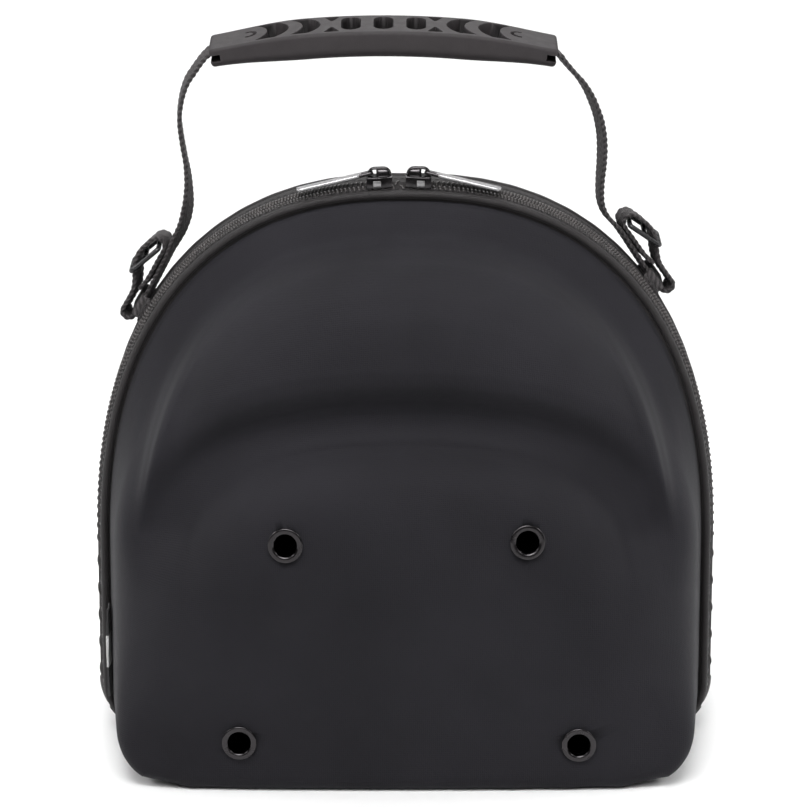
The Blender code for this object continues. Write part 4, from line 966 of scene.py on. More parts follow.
def make_eyelets(front):
    """Rolled metal eyelets, and the holes that they line."""
    bm = bmesh.new()
    for x, z in EYELET_SPOTS:
        place = turned_to(*front_spot(x, z))
        bmesh.ops.create_cone(
            bm, cap_ends=True, segments=48, radius1=EYELET_HOLE_RADIUS + 0.0009,
            radius2=EYELET_HOLE_RADIUS + 0.0009, depth=0.020, matrix=place,
        )
    cut_out(front, "eyelet_punch", bm)
    hole, rim, back = EYELET_HOLE_RADIUS, EYELET_RADIUS, -WALL - 0.0016
    rolled = [
        (rim + 0.0012 * math.sin(a) * 0.5 - 0.0006, 0.0003 + 0.00045 + 0.00045 * math.cos(a))
        for a in np.linspace(math.pi, 0.0, 7)
    ]
    lip = [
        (hole + 0.0012 - 0.0012 * math.sin(a), -0.0002 + 0.0014 * math.cos(a))
        for a in np.linspace(0.0, math.pi / 2, 7)
    ]
    profile = rolled + lip + [(hole, back), (rim - 0.0006, back - 0.0003), (rim - 0.0006, back + 0.0002)]
    profile += [(hole + 0.0006, back + 0.0003), (hole + 0.0006, 0.0000)]
    for index, (x, z) in enumerate(EYELET_SPOTS, start=1):
        bm = bmesh.new()
        verts = [bm.verts.new((r, 0.0, h)) for r, h in profile]
        edges = [bm.edges.new((verts[i - 1], verts[i])) for i in range(len(verts))]
        bmesh.ops.spin(
            bm, geom=verts + edges, cent=(0, 0, 0), axis=(0, 0, 1), angle=2 * math.pi, steps=56,
            use_merge=True,
        )
        bmesh.ops.remove_doubles(bm, verts=bm.verts, dist=0.000005)
        bmesh.ops.recalc_face_normals(bm, faces=bm.faces)
        bmesh.ops.transform(bm, matrix=turned_to(*front_spot(x, z)), verts=bm.verts)
        name = f"vent_eyelet_{index}"
        piece(name, from_bmesh(name, bm), BLACK_METAL, CASE, (f"eyelet_{index}",), 35.0)


# Zip band


def make_piping(name, y, inset, node_name):
    line = in_space(outline(420, inset))
    line[0][:, 1] = y

    def pull(along, across, side):
        return 0.00005 * np.sin(along / 0.0021) * np.ones_like(across)

    section = ring_profile(PIPING_RADIUS, PIPING_RADIUS, 14)
    swept(name, line, section, PIPING_CLOTH, "piping", (node_name,), relief=pull)


def stitch_row(name, points, outs, pitch=0.0030, length=0.0022, radius=0.00022):
    """A row of sewn stitches along a line: each one a short round thread with its ends sunk in."""
    steps = np.linalg.norm(np.diff(points, axis=0), axis=1)
    along = np.concatenate(([0.0], np.cumsum(steps)))
    bm = bmesh.new()
    for start in np.arange(pitch / 2, along[-1] - length, pitch):
        ends = [
            np.array([np.interp(spot, along, points[:, k]) for k in range(3)])
            for spot in (start, start + length)
        ]
        out = Vector([np.interp(start, along, outs[:, k]) for k in range(3)]).normalized()
        way = Vector(ends[1] - ends[0])
        middle = Vector((ends[0] + ends[1]) / 2) + out * radius * 0.35
        turn = way.to_track_quat("X", "Z").to_matrix().to_4x4()
        size = Matrix.Diagonal((way.length / 2, radius, radius, 1.0))
        bmesh.ops.create_uvsphere(
            bm, u_segments=8, v_segments=5, radius=1.0, matrix=Matrix.Translation(middle) @ turn @ size
        )
    piece(name, from_bmesh(name, bm), THREAD, CASE, smooth_deg=80.0)


def make_tapes():
    """The zip's woven tapes, which run in under the coil, with the seam of each."""
    under = COIL_THICKNESS + 0.0001
    edge = COIL_WIDTH / 2 + SEAM_GAP
    bottom = TAPE_INSET + TAPE_THICKNESS
    front = [
        (-under, -0.00015), (-under, -edge + 0.0006), (-under + 0.0006, -edge - 0.0006),
        (-TAPE_INSET - FRONT_TAPE_DROP, -edge - FRONT_TAPE_WIDTH),
        (-bottom - FRONT_TAPE_DROP, -edge - FRONT_TAPE_WIDTH), (-under, -edge - 0.0006),
        (-under - TAPE_THICKNESS, -edge + 0.0006), (-under - TAPE_THICKNESS, -0.00015),
    ]
    seam = edge + 0.0058
    rear = [
        (-under, 0.00015), (-under, edge - 0.0008), (-TAPE_INSET - 0.0002, edge + 0.0004),
        (-TAPE_INSET - 0.0002, seam), (-TAPE_INSET, seam + 0.0003), (-TAPE_INSET + 0.0001, seam + 0.0020),
        (-TAPE_INSET, edge + REAR_TAPE_WIDTH), (-bottom, edge + REAR_TAPE_WIDTH),
        (-bottom, edge), (-under - TAPE_THICKNESS, edge - 0.0010), (-under - TAPE_THICKNESS, 0.00015),
    ]
    points, outs, acrosses = in_space(zip_run(0.0016))
    for name, profile in (("front_zip_tape", front), ("rear_zip_tape", rear)):
        section = np.array(profile)
        swept(f"{name}_woven", (points, outs, acrosses), section, TAPE, "webbing", (name,), smooth_deg=50.0)
    for name, y, drop in (("front", -edge - 0.0022, 0.0011), ("rear", seam + 0.0012, 0.0)):
        line = points - outs * (TAPE_INSET + drop) + acrosses * y
        stitch_row(f"{name}_tape_stitches", line, outs)


def make_coil():
    """The zip's two nylon coils, which lean forwards, with a cord inside that fills their turns."""
    rows = zip_run(0.0005)
    length = np.linalg.norm(np.diff(rows[:, :2], axis=0), axis=1).sum()
    turns = int(length / COIL_PITCH)
    lean = math.radians(COIL_LEAN_DEG)
    t = np.linspace(0.0, 1.0, turns * COIL_STEPS + 1)
    places = t * (len(rows) - 1)
    table = np.column_stack([np.interp(places, np.arange(len(rows)), rows[:, k]) for k in range(4)])
    points, outs, acrosses = in_space(table)
    points = points - outs * COIL_SEAT
    tilted_outs = outs * math.cos(lean) - acrosses * math.sin(lean)
    tilted_acrosses = acrosses * math.cos(lean) + outs * math.sin(lean)
    for name, side in (("front", -1), ("rear", 1)):
        turn = 2 * math.pi * turns * t + (math.pi if side > 0 else 0.0)
        y = side * (COIL_MIDDLE + COIL_REACH * np.cos(turn))
        out = COIL_RISE * np.sin(turn)
        centre = points + tilted_outs * out[:, None] + tilted_acrosses * y[:, None]
        away = tilted_outs * np.sin(turn)[:, None] + tilted_acrosses * (side * np.cos(turn))[:, None]
        way = np.gradient(centre, axis=0)
        way /= np.linalg.norm(way, axis=1)[:, None]
        away -= way * (away * way).sum(axis=1)[:, None]
        away /= np.linalg.norm(away, axis=1)[:, None]
        line = centre, away, np.cross(way, away)
        wire = ring_profile(WIRE_RISE, WIRE_WIDTH, 6)
        swept(f"zip_coil_{name}", line, wire, NYLON, "coil", ("zip_coil",), smooth_deg=80.0)
    line = points[::10], tilted_outs[::10], tilted_acrosses[::10]
    swept("zip_coil_cord", line, web_profile(*COIL_CORD, 6), TAPE, "coil", smooth_deg=60.0)


def make_bottom_hinge():
    points, outs, acrosses = in_space(zip_run(0.0016, above=False))
    width = FRONT_TAPE_WIDTH + REAR_TAPE_WIDTH + 2 * (COIL_WIDTH / 2 + SEAM_GAP)
    middle = (REAR_TAPE_WIDTH - FRONT_TAPE_WIDTH) / 2
    points = points - outs * (TAPE_INSET + HINGE_THICKNESS / 2) + acrosses * middle

    def ribs(along, across, side):
        return 0.00006 * np.sin(across / 0.00055) * (side > 0)

    line, section = (points, outs, acrosses), web_profile(width, HINGE_THICKNESS, 60)
    swept("bottom_hinge_strip", line, section, TAPE, "webbing", ("bottom_hinge",), relief=ribs)
    for name, y in (("front", -HINGE_SEAM), ("rear", HINGE_SEAM)):
        stitch_row(f"hinge_stitches_{name}", points + outs * HINGE_THICKNESS / 2 + acrosses * y, outs)


def make_flanges():
    """The turned edge of each half's cloth, sewn in behind its piping."""
    half, reach = FLANGE_THICKNESS / 2, FLANGE_REACH
    section = np.array([(0.0, -half), (0.0, half), (-reach, half), (-reach, -half)])
    for name, y, inset in (
        ("front", -FRONT_RIM - FLANGE_SEAT, FRONT_PIPING_INSET),
        ("rear", REAR_RIM + FLANGE_SEAT, REAR_PIPING_INSET),
    ):
        line = in_space(outline(420, inset - FLANGE_SEAT))
        line[0][:, 1] = y
        swept(f"{name}_turned_edge", line, section, TAPE, "webbing", smooth_deg=50.0)


# Sliders and pulls


def slider_place(x):
    """A slider's middle on the coil's outer face, and the angle of the outline there."""
    rise = HEIGHT - SPRING_HEIGHT
    share = (1.0 - (abs(x) / HALF_WIDTH) ** ARCH_POWER) ** (1.0 / ARCH_POWER)
    slope = rise / HALF_WIDTH * (abs(x) / HALF_WIDTH / share) ** (ARCH_POWER - 1.0)
    return Vector((x, 0.0, SPRING_HEIGHT + share * rise)), math.atan(slope) * (1 if x > 0 else -1)


def make_slider_body(name, side, place):
    """A channel section, a plate with a flange down each side of the coil, narrower at its tail."""
    wide, r = SLIDER_WIDTH / 2, SLIDER_ROUND
    top, low, low_front = SLIDER_TOP, SLIDER_REAR_LOW, SLIDER_FRONT_LOW
    section = np.array([
        (top - r, -wide), (top - 0.3 * r, -wide + 0.3 * r), (top, -wide + r), (top, wide - r),
        (top - 0.3 * r, wide - 0.3 * r), (top - r, wide), (low + 0.3 * r, wide), (low, wide - 0.4 * r),
        (low, wide - 0.0012), (0.0008, wide - 0.0013), (0.0012, wide - 0.0017),
        (-0.0004, -wide + 0.0017), (-0.0008, -wide + 0.0013), (low_front, -wide + 0.0012),
        (low_front, -wide + 0.4 * r), (low_front + 0.3 * r, -wide),
    ])
    line = straight_line((-SLIDER_LENGTH / 2, 0, 0), (SLIDER_LENGTH / 2, 0, 0), 24, Z_WAY, Y_WAY)
    share = np.linspace(0, 1, 25)
    if side > 0:
        share = 1.0 - share
    widths = 1.0 - 0.22 * smooth_step(share, 0.45, 1.0) - 0.05 * smooth_step(share, 0.12, 0.0)
    body = swept(
        f"slider_{name}_body", line, section, BLACK_METAL, "black_metal", (f"slider_{name}",),
        smooth_deg=30.0, place=place, widths=widths,
    )
    soft_edges(body, 0.00022, 35)


def make_bridge(name, place):
    """The bridge that holds the pull."""
    arch = SLIDER_TOP + BRIDGE_SPACE + BRIDGE_THICKNESS / 2
    rising = [
        (-BRIDGE_REACH, 0, SLIDER_TOP - 0.0004), (-BRIDGE_REACH + 0.0001, 0, SLIDER_TOP + 0.0012),
        (-BRIDGE_REACH + 0.0009, 0, arch - 0.0007), (-BRIDGE_REACH + 0.0022, 0, arch),
    ]
    falling = [(-x, y, z) for x, y, z in reversed(rising)]
    line = smooth_route(rising + [(0, 0, arch + 0.0001)] + falling, 0.0005)
    section = web_profile(BRIDGE_WIDTH + 0.0004, BRIDGE_THICKNESS, 5)
    swept(
        f"slider_{name}_bridge", (line, *plane_frames(line, Y_WAY)), section, BLACK_METAL, "black_metal",
        smooth_deg=50.0, place=place,
    )


def make_spring_cap(name, side, place):
    """The domed cap of the slider's spring, under the bridge and clear of the pull's bar."""
    start, end = (-side * (BRIDGE_REACH - 0.0003), 0, SLIDER_TOP), (side * 0.0012, 0, SLIDER_TOP)
    share = np.linspace(0, 1, 13)
    widths = 0.55 + 0.45 * np.sqrt(np.clip(1.0 - (2 * share - 1.0) ** 4, 0.0, 1.0))
    section = np.array([
        (-0.0003, -0.0014), (-0.0003, 0.0014), (0.0018, 0.0013),
        (0.0024, 0.0008), (0.0024, -0.0008), (0.0018, -0.0013),
    ])
    swept(
        f"slider_{name}_cap", straight_line(start, end, 12, Z_WAY, (0.0, side, 0.0)), section,
        BLACK_METAL, "black_metal", smooth_deg=50.0, place=place, widths=widths,
    )


def make_nose_highlight(name, side, place):
    """A small bright nickel block under the bridge's front: a painted highlight, standing for the glint on
    the slider's front end.
    """
    bm = bmesh.new()
    nose_highlight = Matrix.Translation((side * 0.0010, -SLIDER_WIDTH / 2 - 0.00005, -0.0002))
    # Painted highlight: a bright nickel block where the slider's front shows a glint
    bmesh.ops.create_cube(bm, size=1.0, matrix=nose_highlight @ Matrix.Diagonal((*NOSE_HIGHLIGHT_SIZE, 1)))
    bmesh.ops.bevel(
        bm, geom=bm.edges[:], offset=0.00022, segments=2, affect="EDGES", profile=0.5, material=-1
    )
    mesh = moved(from_bmesh(f"slider_{name}_nose", bm), place)
    piece(f"slider_{name}_nose", mesh, BRIGHT_STEEL, CASE, smooth_deg=30.0)


def make_sliders():
    for name, x in SLIDER_X.items():
        side = 1 if x > 0 else -1
        spot, slope = slider_place(x)
        place = Matrix.Translation(spot) @ Matrix.Rotation(slope, 4, "Y")
        make_slider_body(name, side, place)
        make_bridge(name, place)
        make_spring_cap(name, side, place)
        make_nose_highlight(name, side, place)
        make_pull(name, side, spot, slope)


def make_pull(name, side, spot, slope):
    """A bright flat bar with a black eye, which turns about its cross bar under the bridge."""
    body = f"{name}_pull"
    along = SLIDER_LENGTH / 2 - BRIDGE_THICKNESS - PULL_BAR_RADIUS - 2 * SEAM_GAP
    up = SEAM_GAP + SLIDER_BODY + 2 * SEAM_GAP + PULL_BAR_RADIUS
    pivot = Vector((
        spot.x + side * along * math.cos(slope) + up * math.sin(slope), 0.0,
        spot.z - side * along * math.sin(slope) + up * math.cos(slope),
    ))
    place = Matrix.Translation(pivot) @ Matrix.Rotation(side * math.radians(PULL_SLOPE_DEG), 4, "Y")
    place = place @ Matrix.Rotation(-side * math.radians(PULL_YAW_DEG), 4, "Z")
    place = place @ Matrix.Diagonal((side, 1.0, 1.0, 1.0))
    gap = BRIDGE_WIDTH / 2 + SEAM_GAP
    arm = gap + PULL_EYE_RISE
    bar = PULL_BAR_RADIUS
    near = [
        (PULL_TONGUE + 0.0012, -arm, 0.0), (PULL_TONGUE - 0.0010, -arm, 0.0), (0.0008, -arm, 0.0),
        (0.0002, -arm + 0.0003, 0.0), (0.0, -arm + 0.0009, 0.0),
    ]
    line = smooth_route(near + [(x, -y, z) for x, y, z in reversed(near)], 0.0004)
    swept(
        f"pull_{name}_eye", (line, *plane_frames(line, Z_WAY)), ring_profile(PULL_EYE_RISE, bar * 0.92, 12),
        BLACK_METAL, "black_metal", (f"pull_{name}",), body, 60.0, place,
    )
    share = np.linspace(0, 1, 41)
    widths = 1.0 - 0.34 * smooth_step(share, 0.07, 0.0) - 0.45 * smooth_step(share, 0.965, 1.0)
    half = PULL_WIDTH / 2
    section = np.array([
        (bar, -half + 0.0005), (bar, -half + 0.0013), (bar - 0.0003, -half + 0.0016),
        (bar - 0.0003, half - 0.0016), (bar, half - 0.0013), (bar, half - 0.0005), (bar - 0.0004, half),
        (-bar + 0.0003, half),
        (-bar, half - 0.0003), (-bar, -half + 0.0003), (-bar + 0.0003, -half), (bar - 0.0004, -half),
    ])
    line = straight_line((PULL_TONGUE, 0, 0), (PULL_LENGTH, 0, 0), 40, Z_WAY, Y_WAY)
    made = swept(
        f"pull_{name}_bar", line, section, BRIGHT_STEEL, "bright_steel",
        body=body, smooth_deg=30.0, place=place, widths=widths,
    )
    soft_edges(made, 0.00018, 30)


# Handle


def grip_middle(x):
    """The height of the grip's middle line at x."""
    sink = GRIP_ARCH_RADIUS - math.sqrt(GRIP_ARCH_RADIUS**2 - (x - GRIP_X) ** 2)
    return GRIP_TOP - GRIP_HEIGHT / 2 - sink


def grip_section(s):
    """The grip's width and height at s along it."""
    share = smooth_step(np.abs(s) / (GRIP_LENGTH / 2), 0.45, 1.0)
    width = GRIP_WIDTH + (GRIP_END_WIDTH - GRIP_WIDTH) * share
    return width, GRIP_HEIGHT + (GRIP_END_HEIGHT - GRIP_HEIGHT) * share


def inside_slot(s, y, middle, radius, run):
    """Distance inside a slot across the grip with round ends."""
    return radius - np.hypot(s - middle, np.maximum(np.abs(y) - run, 0.0))


def pocket_depth(s, y, half_width):
    """How deep the grip's top is cut at s along it and y across it, as a share of the full depth."""
    inside = np.full(np.broadcast(s, y).shape, -1.0)
    for middle in GRIP_SLOTS:
        inside = np.maximum(inside, inside_slot(s, y, middle, GRIP_SLOT_RADIUS, GRIP_SLOT_RUN))
    # Small triangles at the edges between the slots and the crescents
    away = np.abs(s)
    edge_run = half_width - np.abs(y)
    triangle = np.minimum(edge_run - 0.0026, 0.0086 - edge_run)
    triangle = np.minimum(triangle, 0.0030 - np.abs(away - 0.0218) - (edge_run - 0.0026) * 0.45)
    inside = np.maximum(inside, triangle)
    # Crescents that bulge towards the middle
    for start, radius, thick in GRIP_CRESCENTS:
        outer = radius - np.hypot(away - start - radius, y)
        inner = np.hypot(away - start - thick - radius * 1.10, y) - radius * 1.10
        crescent = np.minimum(np.minimum(outer, inner), 0.0104 - np.abs(y))
        inside = np.maximum(inside, crescent)
    full = smooth_step(inside, -0.00015, 0.00040)
    # Shallow arcs near the ends
    ring = 0.00055 - np.abs(np.hypot(away - GRIP_ARC, y * 0.9) - 0.0030)
    ring = np.where(away - GRIP_ARC < 0.0010, ring, -1.0)
    return np.maximum(full, 0.50 * smooth_step(ring, -0.0002, 0.0002))


def make_grip():
    """The moulded hand grip: an arched bar with cut-outs on top and a mouth at each end."""
    stations = 420
    top_steps, side_steps, bottom_steps = 72, 12, 26
    s = np.linspace(-GRIP_LENGTH / 2, GRIP_LENGTH / 2, stations + 1)
    # Shares round the section: top face, rear side, bottom face, front side
    corner = 0.10
    section = []
    for share in np.linspace(-1, 1, top_steps):
        section.append((share * (1 - corner), 1.0))
    for angle in np.linspace(math.pi / 2, 0, side_steps // 2 + 1)[1:]:
        section.append((1 - corner + corner * math.cos(angle), 1 - 0.30 + 0.30 * math.sin(angle)))
    for angle in np.linspace(0, -math.pi / 2, side_steps):
        section.append((1 - 0.34 + 0.34 * math.cos(angle), -1 + 0.85 + 0.85 * math.sin(angle)))
    for share in np.linspace(1, -1, bottom_steps)[1:-1]:
        section.append((share * (1 - 0.34), -1.0))
    mirrored = [(-y, z) for y, z in reversed(section[top_steps : top_steps + side_steps // 2 + side_steps])]
    section = np.array(section + mirrored)
    section = np.vstack((section, section[:1]))
    width, height = grip_section(s)
    # Rounded ends
    end_run = GRIP_LENGTH / 2 - np.abs(s)
    round_off = np.sqrt(np.clip(1.0 - (1.0 - np.clip(end_run / 0.0018, 0, 1)) ** 2, 0.0, 1.0))
    width = width - GRIP_ROUND * (1 - round_off)
    height = height - GRIP_ROUND * (1 - round_off)
    y = section[None, :, 0] * width[:, None] / 2
    up = section[None, :, 1] * height[:, None] / 2
    up = up * (1.0 - 0.06 * section[None, :, 0] ** 2)
    on_top = section[None, :, 1] > 0.97
    depth = pocket_depth(s[:, None], y, width[:, None] / 2) * on_top
    up = up - POCKET_DEPTH * depth
    lean = s / GRIP_ARCH_RADIUS
    middle = np.array([grip_middle(GRIP_X + value) for value in s])
    points = np.stack((
        GRIP_X + s[:, None] + up * np.sin(lean)[:, None], HANDLE_Y + y,
        middle[:, None] + up * np.cos(lean)[:, None],
    ), axis=-1)
    uv = np.stack(np.broadcast_arrays(s[:, None], section[None, :, 0] * 0.0135), axis=-1)
    mesh = bent_grid("rubber_grip", points, uv, capped=True)
    grip = piece("rubber_grip", mesh, RUBBER, CASE, ("grip",), 55.0)
    # The mouths that the webbing goes into, and the open slots at the ends
    mouth = GRIP_MOUTH, WEB_WIDTH + 0.0012, WEB_THICKNESS + 0.0012
    for reach, wide, high in (mouth, GRIP_END_SLOT):
        bm = bmesh.new()
        for side in (-1, 1):
            end = GRIP_X + side * GRIP_LENGTH / 2
            inner = end - side * reach / 2
            tilt = (inner - GRIP_X) / GRIP_ARCH_RADIUS
            place = Matrix.Translation((end, HANDLE_Y, grip_middle(inner) - tilt * side * reach / 2))
            place = place @ Matrix.Rotation(tilt, 4, "Y") @ Matrix.Diagonal((2 * reach, wide, high, 1.0))
            bmesh.ops.create_cube(bm, size=1.0, matrix=place)
        cut_out(grip, "grip_mouths", bm)
    # Marks the cut-outs for the painted shade in the rubber
    mark_pocket_shade(grip.data)
    centre = Matrix.Translation((0.0, HANDLE_Y, GRIP_TOP - GRIP_HEIGHT / 2))
    tilt = centre @ Matrix.Rotation(math.radians(GRIP_TILT_DEG), 4, "X") @ centre.inverted()
    moved(grip.data, Matrix.Translation((0.0, 0.0, -GRIP_DROP)) @ tilt)


def mark_pocket_shade(mesh):
    """Stores which points lie in the cut-outs, walls and floor alike, as a mask that paints shade into the
    rubber there.
    """
    co = get_points(mesh)
    s = (co[:, 0] - GRIP_X) / (1.0 + GRIP_HEIGHT / 2 / GRIP_ARCH_RADIUS)
    middle = np.array([grip_middle(x) for x in co[:, 0]])
    width, _ = grip_section(s)
    inside = smooth_step(pocket_depth(s, co[:, 1] - HANDLE_Y, width / 2), 0.01, 0.15)
    layer = mesh.attributes.new("pocket_shade", "FLOAT", "POINT")
    layer.data.foreach_set("value", inside * (co[:, 2] > middle - POCKET_SHADE_FLOOR))


def shoulder_frame(name):
    """Turns lengths along a shoulder and out from it into points."""
    side = -1 if name == "left" else 1
    point, normal = arch_spot(KEEPER_DEG[name], side)
    tangent = np.array([-normal[1] * side, abs(normal[0])])

    def spot(along, out):
        return tuple(point + tangent * along + normal * out)

    return side, spot, tangent, normal, point


def strap_line(name):
    """The strap's middle line: down its route, round the keeper and up through the buckle."""
    side, spot, _, _, _ = shoulder_frame(name)
    low = SEAM_GAP + WEB_THICKNESS / 2
    half = KEEPER_LENGTH / 2
    mouth = GRIP_X + side * GRIP_LENGTH / 2
    start = np.array([mouth, grip_middle(mouth)])
    touchdown = np.array(spot(STRAP_TOUCHDOWN, low + STRAP_EASE))
    height = start[1] - touchdown[1]
    held = [mouth - side * GRIP_HOLD * share for share in (1.0, 0.5, 0.0)]
    free = [(x, grip_middle(x)) for x in held]
    for share, bulge in STRAP_ROUTES[name]:
        free.append(tuple(start + (touchdown - start) * share + np.array([side * bulge * height, 0.0])))
    route = free + [tuple(touchdown), spot(half + STRAP_FLAT_RUN, low), spot(0.0, low), spot(-half, low)]
    for step in range(1, 8):
        angle = math.pi * step / 8
        route.append(spot(-half - LOOP_RADIUS * math.sin(angle), low + LOOP_RADIUS * (1 - math.cos(angle))))
    route.append(spot(-half, low + 2 * LOOP_RADIUS))
    route += [spot(*row) for row in STRAP_RETURN]
    for step in range(5):
        angle = math.pi * step / 4
        route.append(spot(
            BUCKLE_TOP_ALONG + BAR_LOOP_RADIUS * math.sin(angle),
            BUCKLE_TOP_OUT + BAR_LOOP_RADIUS * math.cos(angle),
        ))
    route += [spot(*row) for row in STRAP_TAIL]
    line = smooth_route(route, 0.00040)
    return np.column_stack((line[:, 0], np.full(len(line), HANDLE_Y), line[:, 1]))


def web_relief(along, across, side):
    """The lift of the webbing's slanting ribs and of its thicker edges."""
    slant = (along + RIB_SLANT * np.abs(across)) / RIB_PITCH
    ribs = np.sin(2 * math.pi * slant)
    edge = smooth_step(np.abs(across), WEB_WIDTH / 2 - 0.0022, WEB_WIDTH / 2 - 0.0014)
    return side * (0.00018 * ribs + 0.00010 * edge)


def twisted(line, count, turns):
    """Ways across a strap that turns on its way down: (share of the way, sideways part)."""
    along = np.concatenate(([0.0], np.cumsum(np.linalg.norm(np.diff(line, axis=0), axis=1))))
    share = np.clip(along / along[count], 0.0, 1.0)
    return np.interp(share, *np.array(turns).T)


def make_straps():
    for name in ("left", "right"):
        line = strap_line(name)
        side, spot, _, normal, _ = shoulder_frame(name)
        low = SEAM_GAP + WEB_THICKNESS / 2
        down = np.linalg.norm(line[:, ::2] - np.array(spot(STRAP_TOUCHDOWN, low + STRAP_EASE)), axis=1)
        landing = int(np.argmin(down))
        turn = twisted(line, landing, STRAP_TURNS[name])
        lean = smooth_step(np.arange(len(line)) / landing, 0.70, 1.0) * STRAP_LEAN
        acrosses = same_way(Y_WAY, len(line))
        acrosses[:, 0] += side * turn - lean * normal[0]
        acrosses[:, 2] -= lean * normal[1]
        acrosses /= np.linalg.norm(acrosses, axis=1)[:, None]
        outs = np.cross(np.gradient(line, axis=0), acrosses)
        outs /= np.linalg.norm(outs, axis=1)[:, None]
        swept(
            f"strap_{name}_web", (line, outs, acrosses), web_profile(WEB_WIDTH, WEB_VISIBLE, 26),
            WEBBING, "webbing", (f"strap_{name}",), smooth_deg=60.0, relief=web_relief,
        )
        make_keeper(name)
        make_buckle(name)


def make_keeper(name):
    """A short web sewn to the rear tape and the rear half, over the strap's inner run."""
    _, _, tangent, normal, point = shoulder_frame(name)
    half = WEB_THICKNESS / 2
    near = HANDLE_Y - WEB_WIDTH / 2 - KEEPER_CLEARANCE - half
    far = HANDLE_Y + WEB_WIDTH / 2 + KEEPER_CLEARANCE + half
    tape = SEAM_GAP - TAPE_INSET + half
    over = SEAM_GAP + WEB_THICKNESS + KEEPER_CLEARANCE + half
    bend = KEEPER_BEND

    def shell_out(y):
        outs = np.linspace(0.002, -0.030, 1200)
        values = shell_value(
            point[0] + normal[0] * outs, np.full(1200, y), point[1] + normal[1] * outs,
            *REAR_SHAPE,
        )
        return outs[np.argmax(values < 0)] + KEEPER_SEAT + half

    rear_start = far + 1.5 * bend
    foot_top = shell_out(rear_start) + 1.2 * bend
    rows = [
        (near - KEEPER_FOOT, tape), (near - 0.8 * bend, tape), (near, tape + 0.8 * bend), (near, over - bend),
        (near + bend, over), (far - bend, over), (far, over - bend), (far, (over - bend + foot_top) / 2),
        (far, foot_top),
    ]
    rows += [(y, shell_out(y)) for y in rear_start + KEEPER_FOOT * np.linspace(0, 1, 4)]
    dense = even(rows, 90)
    line = np.array([(point[0] + normal[0] * out, y, point[1] + normal[1] * out) for y, out in dense])
    across = np.array([tangent[0], 0.0, tangent[1]])
    swept(
        f"keeper_{name}_web", (line, *plane_frames(line, across)),
        web_profile(KEEPER_LENGTH, WEB_THICKNESS, 14), WEBBING, "webbing", (f"keeper_{name}",),
        smooth_deg=60.0,
    )
    away = np.array([normal[0], 0.0, normal[1]])
    # A zigzag of stitches through each foot
    for label, first, last in (
        ("front", near - KEEPER_FOOT + 0.001, near - 0.0016),
        ("rear", rear_start, rear_start + KEEPER_FOOT - 0.001),
    ):
        rows = []
        for step, y in enumerate(np.linspace(first, last, 7)):
            out = tape + half if label == "front" else shell_out(y) + half
            ways = (-1, 1) if step % 2 else (1, -1)
            ends = [point + normal * out + tangent * TACK_REACH * way for way in ways]
            rows += [(p[0], y, p[1]) for p in ends]
        tack = f"keeper_{name}_{label}_tack"
        stitch_row(tack, np.array(rows), same_way(away, len(rows)), TACK_PITCH, TACK_LENGTH)


def make_buckle(name):
    """A three-bar slide round the strap's doubled end, with rounded bars."""
    side, spot, tangent, _, _ = shoulder_frame(name)
    tilt = math.radians(BUCKLE_TILT_DEG)
    x, z = spot(
        BUCKLE_TOP_ALONG - BUCKLE_BAR_SPACING * math.cos(tilt),
        BUCKLE_TOP_OUT + BUCKLE_BAR_SPACING * math.sin(tilt),
    )
    slope = math.atan2(tangent[1], tangent[0])
    place = Matrix.Translation((x, HANDLE_Y, z)) @ Matrix.Rotation(-(slope + side * tilt), 4, "Y")
    radius = BUCKLE_BAR / 2
    long, wide, turn = BUCKLE_BAR_SPACING, WEB_WIDTH / 2 + 0.0005 + radius, 0.0012
    corners = ((long, wide), (-long, wide), (-long, -wide), (long, -wide))
    ring = []
    for index, (a, b) in enumerate(corners):
        centre = np.array([a - math.copysign(turn, a), b - math.copysign(turn, b)])
        for step in range(7):
            angle = math.pi / 2 * (index + step / 6)
            ring.append(centre + turn * np.array([math.cos(angle), math.sin(angle)]))
    ring = even(ring, 160, closed=True)
    line = np.column_stack((ring, np.zeros(len(ring))))
    way = np.roll(line[:-1], -1, axis=0) - np.roll(line[:-1], 1, axis=0)
    way = np.vstack((way, way[:1]))
    outs = np.cross(way, Z_WAY)
    outs /= np.linalg.norm(outs, axis=1)[:, None]
    swept(
        f"buckle_{name}_frame", (line, outs, same_way(Z_WAY, len(line))),
        ring_profile(radius, radius * 0.98, 14), BLACK_PLASTIC, "black_plastic", (f"buckle_{name}",),
        smooth_deg=60.0, place=place,
    )
    swept(
        f"buckle_{name}_bar", straight_line((0, -wide, 0), (0, wide, 0), 30, X_WAY, Z_WAY),
        ring_profile(radius * 0.95, radius * 0.8, 14), BLACK_PLASTIC, "black_plastic",
        smooth_deg=60.0, place=place,
    )


def make_label():
    """A small folded tab in the left seam of the front half, leaning out from the wall."""
    start = FRONT_RIM + 2 * PIPING_RADIUS + 2 * SEAM_GAP
    share = np.linspace(0, 1, 40)
    depth = start + LABEL_LENGTH * share
    inset = FRONT_SHELL_INSET + (depth - FRONT_RIM) * math.tan(math.radians(DRAFT_DEG))
    out = SEAM_GAP + LABEL_THICKNESS / 2 + LABEL_LEAN * share**2
    middle = np.full(40, LABEL_BOTTOM + LABEL_HEIGHT / 2)
    line = np.column_stack((-(HALF_WIDTH - inset + out), -depth, middle))

    def crease(along, across, way):
        return way * 0.00008 * np.sin(across / 0.004) + 0.00025 * np.sin(across / 0.011 + along / 0.006)

    swept(
        "side_label_tab", (line, *plane_frames(line, Z_WAY)),
        web_profile(LABEL_HEIGHT, LABEL_THICKNESS * 0.8, 60), LABEL_CLOTH, "webbing", ("side_label",),
        relief=crease,
    )


# Studio


